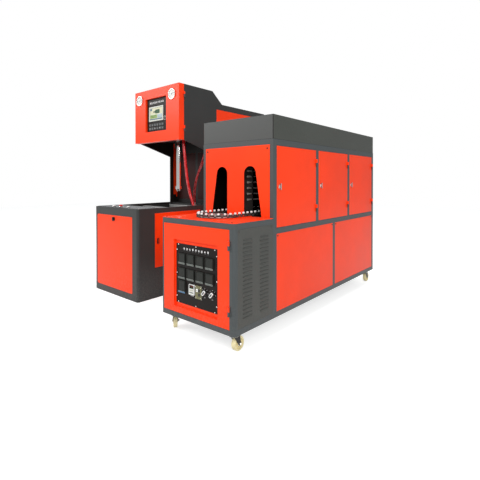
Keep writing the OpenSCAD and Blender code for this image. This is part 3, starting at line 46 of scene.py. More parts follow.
# Camera, floor and light
photoView = {"at": (3.3106, -2.9686, 1.1428), "turn": 40.17, "tilt": 0.45, "lens": 27.65,
             "shift": (-0.0015, -0.1193)}
camData = bpy.data.cameras.new("photoCamera")
camera = bpy.data.objects.new("photoCamera", camData)
bpy.context.scene.collection.objects.link(camera)
camData.sensor_width = 36
camData.lens = photoView["lens"]
camData.shift_x, camData.shift_y = photoView["shift"]
camera.location = photoView["at"]
camera.rotation_euler = (math.radians(90 - photoView["tilt"]), 0, math.radians(photoView["turn"]))
bpy.context.scene.camera = camera
bpy.context.scene.view_settings.view_transform = "Standard"

# Shapes


def quads(rows, cols):
    # faces of a grid of points whose columns close into a ring
    i = np.arange(rows - 1)[:, None] * cols
    j = np.arange(cols)
    k = (j + 1) % cols
    return np.stack([i + j, i + k, i + k + cols, i + j + cols], -1).reshape(-1, 4)


def spin(profile, sides=32):
    # each point (radius, height) of the profile goes once round the local z axis
    turn = np.linspace(0, 2 * np.pi, sides, endpoint=False)
    radius, height = np.array(profile, float).T
    return np.stack([radius[:, None] * np.cos(turn), radius[:, None] * np.sin(turn),
                     np.repeat(height[:, None], sides, 1)], -1)


def roundedOutline(w, h, r, steps=5):
    # four quarter circles round the corners of a rectangle that is centred on zero
    turn = np.linspace(0, np.pi / 2, steps)[None, :] + np.arange(4)[:, None] * np.pi / 2
    centres = np.array([[1, 1], [-1, 1], [-1, -1], [1, -1]]) * [w / 2 - r, h / 2 - r]
    return (centres[:, None, :] + r * np.stack([np.cos(turn), np.sin(turn)], -1)).reshape(-1, 2)


def stack(rings):
    # outlines at their heights, each a copy of one number of points
    return np.stack([np.column_stack([outline, np.full(len(outline), z)]) for outline, z in rings])


def block(w, h, low, high, r=2.0, edge=0.6, steps=5):
    # a rounded rectangle carried from low to high, its upper edge broken by a small chamfer
    full = roundedOutline(w, h, r, steps)
    inner = roundedOutline(w - 2 * edge, h - 2 * edge, max(r - edge, 0.05), steps)
    return stack([(0 * full, low), (full, low), (full, high - edge), (inner, high), (0 * full, high)])


def frameBlock(w, h, rim, low, high, r=3.0, edge=0.6):
    # a picture frame: the outline climbs outside, crosses the rim and goes down inside it
    outer = roundedOutline(w, h, r)
    outerTop = roundedOutline(w - 2 * edge, h - 2 * edge, r - edge)
    innerTop = roundedOutline(w - 2 * rim + 2 * edge, h - 2 * rim + 2 * edge, r * 0.6)
    inner = roundedOutline(w - 2 * rim, h - 2 * rim, r * 0.5)
    return stack([(outer, low), (outer, high - edge), (outerTop, high), (innerTop, high),
                  (inner, high - edge), (inner, low), (outer, low)])


def turned(shape, degrees):
    # the same shape turned in its own plane
    c, s = math.cos(math.radians(degrees)), math.sin(math.radians(degrees))
    return shape @ np.array([[c, s, 0], [-s, c, 0], [0, 0, 1]])


def bar(w, h, at, turn=0.0, low=-0.2, high=0.4):
    # a thin flat mark, turned in its plane about its own middle
    return turned(block(w, h, low, high, min(w, h) * 0.2, 0.1, 2), turn) + [at[0], at[1], 0]


walls = {  # what a local x, y and z become on each side: to the right, up and outward as seen from outside
    "front": ([1, 0, 0], [0, 0, 1], [0, -1, 0]), "right": ([0, 1, 0], [0, 0, 1], [1, 0, 0]),
    "back": ([-1, 0, 0], [0, 0, 1], [0, 1, 0]), "left": ([0, -1, 0], [0, 0, 1], [-1, 0, 0]),
    "top": ([1, 0, 0], [0, 1, 0], [0, 0, 1])}


def put(points, at, side="front"):
    # local axes laid along those of a side, then moved to a spot
    return points @ np.array(walls[side], float) + np.array(at, float)


def piece(name, shapes, body, finishes, sharp=35):
    # shapes are (grid of points, number of its finish); a ring drawn in to one point becomes a closed pole
    points, faces, tints, count = [], [], [], 0
    for shape, tint in shapes:
        rows, cols = shape.shape[:2]
        points.append(shape.reshape(-1, 3))
        faces.append(quads(rows, cols) + count)
        tints.append(np.full(len(faces[-1]), tint))
        count += rows * cols
    mesh = bpy.data.meshes.new(name)
    mesh.from_pydata(np.concatenate(points) / 1000, [], np.concatenate(faces).tolist())
    for finish in finishes:
        mesh.materials.append(finish)
    mesh.polygons.foreach_set("material_index", np.concatenate(tints))
    work = bmesh.new()
    work.from_mesh(mesh)
    bmesh.ops.remove_doubles(work, verts=work.verts, dist=2e-6)
    bmesh.ops.dissolve_degenerate(work, edges=work.edges, dist=1e-6)
    work.to_mesh(mesh)
    work.free()
    mesh.polygons.foreach_set("use_smooth", np.ones(len(mesh.polygons), bool))
    mesh.set_sharp_from_angle(angle=math.radians(sharp))
    obj = bpy.data.objects.new(name, mesh)
    bpy.context.scene.collection.objects.link(obj)
    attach(obj, body)
    return obj


# Materials
cloudRange = (0.35, 0.65)  # the part of a noise that is spread from 0 to 1 for slow changes in tone
powder = {"clouds": 3.1, "patches": 70.0, "patchRange": (0.42, 0.7), "grain": 900.0, "height": 0.00012,
          "edge": 0.0009, "dusty": 0.5, "dust": (0.42, 0.39, 0.35, 1.0)}  # dusty: the height where dust ends
bareMetal = {"grain": 160.0, "stains": 9.0, "stainRange": (0.4, 0.72), "height": 0.00006}
moulded = {"grain": 1100.0, "clouds": 14.0, "height": 0.00005}
screenRows = 9000.0


class Wire:  # one output of a material's node; + - and * on it add Math nodes
    def __init__(self, make, socket):
        self.make, self.socket = make, socket

    def join(self, operation, other, swap=False):
        pair = (other, self) if swap else (self, other)
        return self.make("ShaderNodeMath", {"operation": operation}, {0: pair[0], 1: pair[1]})

    def __add__(self, other):
        return self.join("ADD", other)

    def __rsub__(self, other):
        return self.join("SUBTRACT", other, True)

    def __mul__(self, other):
        return self.join("MULTIPLY", other)

    __radd__, __rmul__ = __add__, __mul__

    def wave(self):
        return self.join("SINE", 0)

    def between(self, low, high):  # 0 below low, 1 above high and even in between
        return self.make("ShaderNodeMapRange", {"clamp": True}, {0: self, 1: low, 2: high, 3: 0.0, 4: 1.0})


class Finish:  # one material, built from nodes around a Principled shader
    def __init__(self, name, **sockets):
        self.material = bpy.data.materials.new(name)
        self.material.use_nodes = True
        self.tree = self.material.node_tree
        self.tree.nodes.clear()
        self.shader = self.tree.nodes.new("ShaderNodeBsdfPrincipled")
        output = self.tree.nodes.new("ShaderNodeOutputMaterial")
        self.tree.links.new(self.shader.outputs[0], output.inputs[0])
        self.place = self.make("ShaderNodeTexCoord", out="Object")
        self.feed(**sockets)

    def make(self, kind, settings=None, inputs=None, out=0):
        node = self.tree.nodes.new(kind)
        for key, value in (settings or {}).items():
            setattr(node, key, value)
        for key, value in (inputs or {}).items():
            self.fill(node.inputs[key], value)
        return Wire(self.make, node.outputs[out])

    def fill(self, socket, value):
        if isinstance(value, Wire):
            self.tree.links.new(value.socket, socket)
        else:
            socket.default_value = value

    def feed(self, **sockets):  # a shader input's name without its spaces
        names = {s.name.replace(" ", ""): s for s in self.shader.inputs}
        for key, value in sockets.items():
            self.fill(names[key], value)

    def noise(self, scale, detail=2.0, stretch=(1, 1, 1)):
        spot = self.make("ShaderNodeVectorMath", {"operation": "MULTIPLY"}, {0: self.place, 1: stretch})
        return self.make("ShaderNodeTexNoise", {}, {"Vector": spot, "Scale": scale, "Detail": detail})

    def clouds(self, scale, detail=3.0):
        return self.noise(scale, detail).between(*cloudRange)

    def axis(self, index):
        return self.make("ShaderNodeSeparateXYZ", {}, {0: self.place}, out=index)

    def within(self, low, high):  # 1 between two corners of a box in metres; None leaves a side open
        mask = 1.0
        for index, (a, b) in enumerate(zip(low, high)):
            if a is not None:
                mask = self.axis(index).join("GREATER_THAN", a) * mask
            if b is not None:
                mask = self.axis(index).join("LESS_THAN", b) * mask
        return mask

    def mix(self, mask, first, second):
        return self.make("ShaderNodeMix", {"data_type": "RGBA"}, {0: mask, 6: first, 7: second}, out=2)

    def bump(self, height, strength, distance, under=None):
        inputs = {"Height": height, "Strength": strength, "Distance": distance}
        if under:
            inputs["Normal"] = under
        return self.make("ShaderNodeBump", {}, inputs)


def shade(colour, factor):
    return tuple(min(1.0, c * factor) for c in colour[:3]) + (1.0,)


# Painted shade and painted light on the paint: two corners of a box in metres, and the colour painted there
# painted shade: inside the oven's walls the paint is painted near black, standing for the shade seen through
# its arches
ovenShade = ((1.0505, -0.7803, 0.2), (1.7695, 1.1655, 1.64), (0.008, 0.007, 0.006, 1.0))
# painted shade: the column's front panels in the throat under the head are painted dark red-brown, standing
# for the deep shade there
throatShade = ((-0.3545, 0.08, 0.9), (0.3545, None, None), (0.03, 0.005, 0.004, 1.0))
# painted shade: inside the press, between its side plates, the grey is painted near black
pressShade = ((-0.3735, -0.95, 0.862), (0.3735, 1.1, 2.13), (0.012, 0.011, 0.01, 1.0))
# the front sheets lie in the oven's box too, but are kept out of its painted shade, so these two come after
# it; the hood's front is painted lighter than its sides, a painted light where the lamps leave it dim
hoodFaceLight = ((1.04, -0.79, 1.443), (1.78, -0.7785, 1.63), (0.072, 0.075, 0.072, 1.0))
frontRail = ((1.04, -0.79, 0.862), (1.78, -0.7785, 1.443), (0.066, 0.072, 0.073, 1.0))


def paint(name, colour, rough=0.35, coat=0.0, cloud=0.05, dust=0.04, gloss=0.25, rooms=()):
    # powder coat: an even orange-peel grain, slow clouds in tone, a few dull patches and dust low down;
    # inside each of its rooms the colour is painted over: painted shade inside the machine, painted light on
    # the hood's front
    f = Finish(name, CoatWeight=coat, CoatRoughness=0.18, SpecularIORLevel=gloss)
    cloudy = f.clouds(powder["clouds"], 4.0)
    fine = f.noise(powder["patches"], 3.0).between(*powder["patchRange"])
    low = 1 - f.axis(2).between(0.0, powder["dusty"])
    tone = f.mix(cloudy, shade(colour, 1 - cloud), shade(colour, 1 + cloud))
    tone = f.mix(fine * dust, tone, shade(colour, 0.7))
    tone = f.mix(low * fine * (dust * 2), tone, powder["dust"])
    # each room's colour is painted shade or painted light laid over the tone
    for corner, far, stainAndPaintedLight in rooms:
        tone = f.mix(f.within(corner, far), tone, stainAndPaintedLight)
    peel = f.noise(powder["grain"], 1.0)
    rounded = f.make("ShaderNodeBevel", {"samples": 4}, {"Radius": powder["edge"]})
    f.feed(BaseColor=tone, Roughness=rough + cloudy * 0.05 + fine * 0.06,
           Normal=f.bump(peel, 0.35, powder["height"], rounded))
    return f.material


def metal(name, colour, rough=0.3, brush=(1, 1, 1), scratch=0.25, cloud=0.06):
    # bare metal: fine lines along one direction, and slow stains that change tone and gloss
    f = Finish(name, Metallic=1.0)
    lines = f.noise(bareMetal["grain"], 3.0, brush)
    stainAndPaintedLight = f.noise(bareMetal["stains"], 4.0).between(*bareMetal["stainRange"])
    f.feed(BaseColor=f.mix(stainAndPaintedLight, shade(colour, 1 + cloud), shade(colour, 1 - 2 * cloud)),
           Roughness=rough + lines.between(0.3, 0.7) * scratch * 0.4 + stainAndPaintedLight * 0.07,
           Normal=f.bump(lines, scratch, bareMetal["height"]))
    return f.material


def plastic(name, colour, rough=0.4, bump=0.25, cloud=0.05, coat=0.0, gloss=0.35):
    # moulded plastic or rubber: a fine even grain and slight changes in tone
    f = Finish(name, CoatWeight=coat, CoatRoughness=0.08, SpecularIORLevel=gloss)
    cloudy = f.clouds(moulded["clouds"])
    grainy = f.noise(moulded["grain"], 1.0)
    f.feed(BaseColor=f.mix(cloudy, shade(colour, 1 - cloud), shade(colour, 1 + cloud)),
           Roughness=rough + cloudy * 0.06, Normal=f.bump(grainy, bump, moulded["height"]))
    return f.material


tones = {
    "orange": (0.96, 0.05, 0.006), "frameGrey": (0.06, 0.069, 0.071), "louvreGrey": (0.068, 0.07, 0.064),
    "hoodGrey": (0.058, 0.062, 0.054), "pressGrey": (0.036, 0.038, 0.037),
    "consoleGrey": (0.05, 0.052, 0.054), "panelBlack": (0.008, 0.006, 0.005),
    "caseGrey": (0.024, 0.026, 0.023), "stripGrey": (0.15, 0.165, 0.15), "chrome": (0.82, 0.81, 0.78),
    "steel": (0.5, 0.5, 0.49), "aluminium": (0.66, 0.67, 0.68), "cream": (0.82, 0.72, 0.42),
    "rubberBlack": (0.012, 0.012, 0.012), "white": (0.86, 0.86, 0.84), "hoseRed": (0.62, 0.008, 0.014),
    "tubeRed": (0.36, 0.006, 0.01), "olive": (0.14, 0.135, 0.06)}
orangePaint = paint("orangePaint", tones["orange"], 0.33, coat=0.05, gloss=0.14, rooms=(ovenShade, throatShade))
frameGrey = paint("frameGrey", tones["frameGrey"], 0.42, rooms=(ovenShade, frontRail))
louvreGrey = paint("louvreGrey", tones["louvreGrey"], 0.5)
hoodGrey = paint("hoodGrey", tones["hoodGrey"], 0.4, rooms=(ovenShade, hoodFaceLight))
pressGrey = paint("pressGrey", tones["pressGrey"], 0.4, rooms=(pressShade,))
consoleGrey = paint("consoleGrey", tones["consoleGrey"], 0.22, coat=0.3)
panelBlack = plastic("panelBlack", tones["panelBlack"], 0.35, gloss=0.12)
caseGrey = plastic("caseGrey", tones["caseGrey"], 0.42, gloss=0.12)
stripGrey = plastic("stripGrey", tones["stripGrey"], 0.4)
keyGrey = plastic("keyGrey", (0.06, 0.066, 0.066), 0.5, cloud=0.2)
stripPale = plastic("stripPale", (0.24, 0.26, 0.24), 0.4)
knobBlack = plastic("knobBlack", tones["rubberBlack"], 0.35)
forkBlack = paint("forkBlack", tones["rubberBlack"], 0.3, cloud=0.1)
chromePlate = metal("chromePlate", tones["chrome"], 0.07, (1, 1, 0.02), 0.04, cloud=0.02)
screwMetal = metal("screwMetal", tones["chrome"], 0.22, scratch=0.1)
turnedSteel = metal("turnedSteel", tones["steel"], 0.3, (1, 1, 8))
groundSteel = metal("groundSteel", tones["steel"], 0.34, (0.05, 1, 1))
brushedAluminium = metal("brushedAluminium", tones["aluminium"], 0.33, (1, 0.03, 1))
chainSteel = metal("chainSteel", (0.13, 0.12, 0.11), 0.42, cloud=0.12)
# painted shade: the lamp rack's steel is painted almost black, standing for the shade inside the oven
paintedShadeSteel = metal("paintedShadeSteel", (0.03, 0.027, 0.025), 0.5, cloud=0.2)
motorGrey = paint("motorGrey", (0.09, 0.11, 0.14), 0.45)
whitePlastic = plastic("whitePlastic", tones["white"], 0.3)
palePlastic = plastic("palePlastic", (0.58, 0.6, 0.54), 0.35)
seatWhite = plastic("seatWhite", (0.85, 0.85, 0.83), 0.3)
dialWhite = plastic("dialWhite", (0.66, 0.66, 0.63), 0.35)
redPlastic = plastic("redPlastic", (0.6, 0.015, 0.012), 0.25, coat=0.3)
olivePlate = plastic("olivePlate", tones["olive"], 0.4)
wheelCream = plastic("wheelCream", tones["cream"], 0.42, cloud=0.08)
printWhite = plastic("printWhite", (0.9, 0.9, 0.9), 0.5, bump=0.05)
printGrey = plastic("printGrey", (0.4, 0.4, 0.4), 0.5, bump=0.05)
printBlue = plastic("printBlue", (0.1, 0.21, 0.36), 0.45, bump=0.05)


def hoseCover(name, colour, rings):
    # smooth extruded cover: the tube's own map gives faint rings along it
    f = Finish(name, CoatWeight=0.5, CoatRoughness=0.12, IOR=1.5)
    along = f.make("ShaderNodeSeparateXYZ", {}, {0: f.make("ShaderNodeTexCoord", out="UV")}, out=1)
    ribs = (along * rings).wave()
    cloudy = f.clouds(30.0)
    f.feed(BaseColor=f.mix(cloudy, shade(colour, 0.85), shade(colour, 1.15)), Roughness=0.22 + cloudy * 0.1,
           Normal=f.bump(ribs + f.noise(400.0, 1.0) * 0.5, 0.15, 0.0002))
    return f.material


hoseRed = hoseCover("hoseRed", tones["hoseRed"], 900.0)
tubeRed = hoseCover("tubeRed", tones["tubeRed"], 1400.0)


def quartz(name, dull, bright):
    # a frosted quartz tube over its coating, duller in slow bands
    f = Finish(name, CoatWeight=0.6, CoatRoughness=0.05)
    bands = f.noise(5.0, 3.0, (1, 8, 1)).between(0.3, 0.7)
    f.feed(BaseColor=f.mix(bands, dull, bright), Roughness=0.15 + bands * 0.2)
    return f.material


lampQuartz = quartz("lampQuartz", (0.3, 0.28, 0.25, 1), (0.38, 0.36, 0.33, 1))


def glow(name, colour):
    # a lit panel behind glass: its light is a little stronger along fine rows
    f = Finish(name, Roughness=0.25, SpecularIORLevel=0.12, EmissionStrength=1.0)
    rowed = (f.axis(2) * screenRows).wave().between(-1.0, 1.0)
    tone = f.mix(rowed, shade(colour, 0.88), shade(colour, 1.05))
    f.feed(BaseColor=f.mix(rowed, shade(colour, 0.1), shade(colour, 0.14)), EmissionColor=tone)
    return f.material


screenCream = glow("screenCream", (0.7, 0.7, 0.5))
screenGreen = glow("screenGreen", (0.3, 0.42, 0.16))
screenDark = glow("screenDark", (0.012, 0.07, 0.02))
screenBlue = glow("screenBlue", (0.12, 0.2, 0.28))
screenPale = glow("screenPale", (0.42, 0.52, 0.56))
digitRed = glow("digitRed", (0.4, 0.02, 0.015))
digitGreen = glow("digitGreen", (0.06, 0.35, 0.1))
print("materials made")

# What each CAD node is finished with
finishOf = {
    "orange": (orangePaint, ["table_top", "side_panels", "oven_front_plate", "heater_door", "oven_door_front",
                             "oven_door_middle", "oven_door_rear", "front_panel", "base_side_door",
                             "column_panels", "head_door"]),
    "frame": (frameGrey, ["heater_frame", "hinge_halves"]), "louvres": (louvreGrey, ["louvre_panels"]),
    "hood": (hoodGrey, ["hood"]),
    "press": (pressGrey, ["base_cabinet", "side_plate_left", "side_plate_right", "column_covers"]),
    "console": (consoleGrey, ["console"]), "panel": (panelBlack, ["control_panel", "screen_panel"]),
    "cases": (caseGrey, ["voltage_regulators"]), "instruments": (whitePlastic, ["panel_instruments"]),
    "knobs": (knobBlack, ["front_latch"]),
    "locks": (chromePlate, ["lock_front", "lock_middle", "lock_rear", "blow_column", "tie_bars",
                            "pressure_gauges"]),
    "track": (orangePaint, ["chain_track"]), "rack": (paintedShadeSteel, ["lamp_rack"]),
    "cylinders": (brushedAluminium, ["air_cylinders"]),
    "chain": (chainSteel, ["preform_chain"]), "turned": (turnedSteel, ["front_sprocket", "drive_sprocket",
                                                                       "stretch_rod", "hose_fittings"]),
    "ground": (groundSteel, ["clamp_bed", "moving_platen"]), "motor": (motorGrey, ["gearmotor"]),
    "lamps": (lampQuartz, ["heating_lamps"]),
    "forks": (forkBlack, ["caster_fork_front_right", "caster_fork_front_left", "caster_fork_rear_right",
                          "caster_fork_rear_left"]),
    "wheels": (wheelCream, ["caster_wheel_front_right", "caster_wheel_front_left", "caster_wheel_rear_right",
                            "caster_wheel_rear_left"]),
    "starts": (whitePlastic, ["start_button_left", "start_button_right"]),
    "stop": (redPlastic, ["stop_button"])}
for finish, names in finishOf.values():
    for name in names:
        mesh = nodes[name].data
        if not mesh.materials:
            mesh.materials.append(finish)
        for slotOf in nodes[name].material_slots:
            slotOf.material = finish
print("CAD nodes finished")

# Hoses


def smoothLine(points, steps):
    # cubic stretches between the points, with tangents along the line through each point's neighbours
    points = np.array(points, float)
    spread = np.vstack([points[1] - points[0], points[2:] - points[:-2], points[-1] - points[-2]])
    spread /= np.linalg.norm(spread, axis=1)[:, None]
    t = (np.arange(steps) / steps)[None, :, None]
    size = np.linalg.norm(np.diff(points, axis=0), axis=1)[:, None]
    a, b = points[:-1, None], points[1:, None]
    u, v = (spread[:-1] * size)[:, None], (spread[1:] * size)[:, None]
    line = (a * (2 * t**3 - 3 * t**2 + 1) + u * (t**3 - 2 * t**2 + t) + b * (3 * t**2 - 2 * t**3)
            + v * (t**3 - t**2))
    return np.vstack([line.reshape(-1, 3), points[-1]])


hoseSteps = 10  # how many short lengths each stretch of a route is cut into
airTube = {"radius": 6.0, "finish": tubeRed, "stiffness": "medium", "start": (-1, 0, 0), "sides": 20}
hoses = {
    "mainHose": {"node": "main_hose", "radius": 15.0, "finish": hoseRed, "stiffness": "stiff",
                 "start": (0, 0, -1), "sides": 32,
                 "route": [(606, 700, 1580), (608, 700, 1530), (615, 703, 1455), (621, 708, 1375),
                           (624, 716, 1290), (628, 728, 1180), (640, 740, 1070), (660, 750, 975),
                           (684, 759, 900), (697, 764, 845), (700, 765, 800)]},
    "airTubeUpper": {**airTube, "node": "air_tube_upper",
                     "route": [(738, 950, 1478), (724, 946, 1476), (706, 938, 1464), (694, 930, 1444),
                               (688, 920, 1412), (682, 908, 1360), (664, 899, 1304), (638, 896, 1250),
                               (608, 897, 1195), (580, 899, 1125), (556, 902, 1045), (538, 908, 965),
                               (528, 917, 905), (526, 921, 880)]},
    "airTubeLower": {**airTube, "node": "air_tube_lower",
                     "route": [(738, 990, 1462), (723, 985, 1458), (706.5, 975.5, 1446), (697, 962, 1424),
                               (694, 944, 1392), (688, 925, 1350), (676, 908, 1300), (652, 899, 1245),
                               (622, 897, 1190), (596, 899, 1110), (576, 902, 1030), (562, 908, 958),
                               (556, 917, 905), (555, 921, 880)]}}


def hose(name, made):
    # a circle is carried along the line, its plane square to the line at each point
    line = smoothLine(made["route"], hoseSteps) + pressAt
    ahead = np.gradient(line, axis=0)
    ahead[0], ahead[-1] = made["start"], (0, 0, -1)
    ahead /= np.linalg.norm(ahead, axis=1)[:, None]
    across = np.cross((0, 1, 0), ahead)
    across /= np.linalg.norm(across, axis=1)[:, None]
    third = np.cross(ahead, across)
    turn = np.linspace(0, 2 * np.pi, made["sides"], endpoint=False)[None, :, None]
    rings = line[:, None] + made["radius"] * (np.cos(turn) * across[:, None] + np.sin(turn) * third[:, None])
    rings = np.concatenate([np.repeat(line[:1, None], made["sides"], 1), rings,
                            np.repeat(line[-1:, None], made["sides"], 1)])
    obj = piece(name, [(rings, 0)], "root", [made["finish"]], 50)
    # the map: once round the tube, and metres along it
    run = np.r_[0, np.cumsum(np.linalg.norm(np.diff(line, axis=0), axis=1))]
    spots = np.array([v.co for v in obj.data.vertices]) * 1000
    nearest = np.argmin(((spots[:, None] - line[None]) ** 2).sum(-1), 1)
    off = spots - line[nearest]
    around = np.arctan2((off * third[nearest]).sum(1), (off * across[nearest]).sum(1)) / (2 * np.pi)
    loopPoint = np.zeros(len(obj.data.loops), int)
    obj.data.loops.foreach_get("vertex_index", loopPoint)
    wrap = np.column_stack([around, run[nearest] / 1000])[loopPoint]
    obj.data.uv_layers.new(name="along").data.foreach_set("uv", wrap.ravel())
    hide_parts(made["node"])
    made["radius"] * 2 / 1000


for name, made in hoses.items():
    hose(name, made)
print("hoses laid")

# Control panel of the preheater
panelAt = {"left": 141.0, "low": 244.0, "w": 420.0, "h": 434.0, "face": 15.0}


def onPanel(shape, x, z, out=0.0):
    return put(shape, ovenAt + [panelAt["left"] + x, panelAt["face"] - out, panelAt["low"] + z])


regulators = {"left": 28, "pitch": 94, "w": 72, "rows": (181, 287), "h": 78, "ninth": (79, 90), "strip": 14,
              "dots": 5}  # ninth: the height and size of the taller one under the two rows
shapes = []
dot = spin([(0, 10), (2.4, 10), (2.4, 10.9), (1.8, 11.3), (0, 11.3)], 10)
places = [(regulators["left"] + i * regulators["pitch"], z, regulators["h"]) for i in range(4)
          for z in regulators["rows"]]
places.append((regulators["left"], *regulators["ninth"]))
for left, z, tall in places:
    x, strip = left + regulators["w"] / 2, regulators["strip"]
    label = 3 if tall > regulators["h"] else 1
    full, face = regulators["w"] - 1, regulators["w"] - 11
    middle = z + (tall + strip - 4) / 2
    shapes.append((onPanel(block(face, tall - strip - 7, 7.8, 9.6, 2, 0.5), x, middle), 0))
    shapes.append((onPanel(block(full, 10.4, 5.5, 10.6, 1, 0.5), x, z + 5.6), label))
    shapes.append((onPanel(block(full, 2, 6, 12.4, 0.8, 0.3), x, z + 12.4), 2))
    for i in range(regulators["dots"]):
        at = left + regulators["w"] * (i + 0.5) / regulators["dots"]
        shapes.append((onPanel(dot, at, z + 6.5), 4))
piece("regulatorFaces", shapes, "heater_door",
      [caseGrey, stripGrey, stripPale, printBlue, caseGrey])

marks = {"count": 9, "first": 86.0, "last": 330.0, "z": 401.0, "size": 10.5, "dashDown": 13}
shapes = []
for i, x in enumerate(np.linspace(marks["first"], marks["last"], marks["count"])):
    size = marks["size"] * (1 + 0.12 * math.sin(2.4 * i))
    drop = math.sin(5.0 * i)
    shapes.append((onPanel(frameBlock(size, size + 2, 3.0, -0.2, 0.4, 1.5, 0.1), x, marks["z"] + drop), 0))
    shapes.append((onPanel(bar(size * 0.7, 2.6, (0, 0), 50 * math.sin(3.0 * i)), x, marks["z"]), 0))
    shapes.append((onPanel(bar(9, 1.5, (0, 0)), x + math.sin(i), marks["z"] - marks["dashDown"]), 1))
piece("panelMarks", shapes, "heater_door", [printWhite, printGrey], 60)

# Seven-segment figures: which of the bars a, b, c, d, e, f and g are lit
segments = {"0": "abcdef", "1": "bc", "5": "afgcd", "8": "abcdefg"}
barOf = {"a": (0, 1, 0), "b": (1, 0.5, 90), "c": (1, -0.5, 90), "d": (0, -1, 0), "e": (-1, -0.5, 90),
         "f": (-1, 0.5, 90), "g": (0, 0, 0)}


def figure(sign, x, z, size, out):
    for s in segments[sign]:
        dx, dz, turn = barOf[s]
        at = (dx * size * 0.24, dz * size * 0.5)
        yield onPanel(bar(size * 0.42, size * 0.11, at, turn, 0, 0.3), x, z, out)


controller = {"x": 171.0, "z": 120.0, "w": 54.0, "h": 72.0, "upper": "180", "lower": "150",
              "keys": (154.8, 165.6, 176.4, 187.2),
              "windows": [(45, 25, 139, 3, 8.4, 1), (46, 19, 115, 5, 8.6, 2), (46, 9, 93, 5, 8.8, 2)]}
shapes = [(onPanel(frameBlock(controller["w"], controller["h"], 3.6, 5, 10.4, 3, 1), controller["x"],
                   controller["z"]), 0)]
for w, h, z, low, high, tint in controller["windows"]:
    shapes.append((onPanel(block(w, h, low, high, 1.5, 0.4), controller["x"], z), tint))
for i in range(3):
    shapes += [(s, 4) for s in figure(controller["upper"][i], controller["x"] - 10 + i * 10, 144, 9, 8.3)]
    shapes += [(s, 5) for s in figure(controller["lower"][i], controller["x"] - 5 + i * 7, 132, 6.5, 8.3)]
for i, x in enumerate(controller["keys"]):
    shapes.append((onPanel(spin([(0, 8), (4.2, 8), (4.2, 10.4), (3.3, 11), (0, 11)], 16), x, 100), 3))
    shapes.append((onPanel(bar(8, 3, (0, 0), low=8.4, high=9), x, 115), 4 if i % 2 else 5))
shapes.append((onPanel(bar(32, 5, (0, 0)), controller["x"], 75), 6))
piece("temperatureController", shapes, "heater_door",
      [whitePlastic, panelBlack, palePlastic, stripGrey, digitRed, digitGreen, printGrey])

sockets = {"x": 237.0, "z": 111.0, "w": 62.4, "h": 92.4}
shapes = [(onPanel(block(sockets["w"], sockets["h"], 1, 4.9, 4, 1), sockets["x"], sockets["z"]), 0)]
for x, z, tint in [(-12, 14, 1), (9, 14, 2), (9, -15, 2)]:
    shapes.append((onPanel(block(17, 21, 4, 7.4, 2.5, 0.8), sockets["x"] + x, sockets["z"] + z), tint))
    shapes.append((onPanel(bar(9, 3, (0, 0), low=7, high=7.9), sockets["x"] + x, sockets["z"] + z), 2))
for x, z in [(-23, 36), (23, 36), (-23, -36), (23, -36)]:
    shapes.append((onPanel(spin([(0, 4), (3, 4), (3, 5.6), (2, 6.2), (0, 6.2)], 12), sockets["x"] + x,
                           sockets["z"] + z), 3))
piece("socketPlate", shapes, "heater_door",
      [olivePlate, whitePlastic, knobBlack, screwMetal])

switches = {"x": (298.0, 372.0), "z": 121.0, "names": ("left", "right"), "lean": -40.0,
            "ticks": (-90, -45, 0, 45, 90), "tickOut": 30, "dashDown": 34}
# base, knob and a broad grip that leans to the right; the white frame round the grip is a painted highlight
# along its sides
knob = spin([(0, 0.3), (21.6, 0.3), (22, 0.9), (22, 4.6), (20.6, 6), (18, 6.2), (18, 10.6), (16.8, 12),
             (0, 12)], 40)
knobShapes = [(knob, 0), (block(12, 34, 11, 18.6, 3, 1), 0), (frameBlock(19, 39, 4.6, 11.6, 19.6, 5, 0.6), 1)]
for x, side in zip(switches["x"], switches["names"]):
    grip = piece("switchGrip_" + side, [(onPanel(turned(shape, switches["lean"]), x, switches["z"]), tint)
                                        for shape, tint in knobShapes],
                 "rotary_switch_" + side, [knobBlack, whitePlastic])
    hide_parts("rotary_switch_" + side)
    r = switches["tickOut"]
    scale = [(onPanel(bar(1.6, 6, (r * math.sin(a), r * math.cos(a)), -math.degrees(a)), x, switches["z"]), 0)
             for a in np.radians(switches["ticks"])]
    scale.append((onPanel(bar(14, 3, (0, 0)), x, switches["z"] - switches["dashDown"]), 1))
    piece("switchScale_" + side, scale, "heater_door", [printWhite, printGrey], 60)
print("control panel dressed")

# Screws


def panHead(r, h, sides=24):
    # a dome with a cross pressed in: the height falls inside two crossing bars that end before the rim
    radius = np.r_[0, 0.16, 0.3, 0.45, 0.6, 0.78, 0.92, 1.0, 1.0][::-1] * r
    turn = np.linspace(0, 2 * np.pi, sides, endpoint=False)
    x, y = radius[:, None] * np.cos(turn), radius[:, None] * np.sin(turn)
    z = h * np.sqrt(np.clip(1 - (radius / r) ** 2 * 0.75, 0, 1))[:, None] + 0 * x
    cross = (np.minimum(np.abs(x), np.abs(y)) < 0.15 * r) & (np.hypot(x, y) < 0.62 * r)
    z = np.where(cross, z - 0.4 * h, z)
    z[0] = 0
    return np.concatenate([np.stack([0 * x[:1], 0 * x[:1], 0 * x[:1]], -1), np.stack([x, y, z], -1)])


# louvres and rear: where the panel starts and how wide it is, and the height of the louvres' screws
oven = {"front": 430, "back": 2375, "w": 720, "post": 44, "lowScrew": 732, "doorScrew": 1380, "screwIn": 15,
        "louvres": (36, 388, 806), "rear": (40, 640)}
screwRows = {"table": ((31, 689), 14, 865), "front": ((52, 668), 428, 1375),
             "well": ((28, 742), (28, 246), 869)}


def bays(count):
    # how wide each of some equal panels is between the oven's posts, and where each starts
    w = (oven["back"] - oven["front"] - (count + 1) * oven["post"]) / count
    return w, [oven["front"] + oven["post"] + i * (w + oven["post"]) for i in range(count)]


def rowEnds(start, w):
    return [start + oven["screwIn"], start + w - oven["screwIn"]]


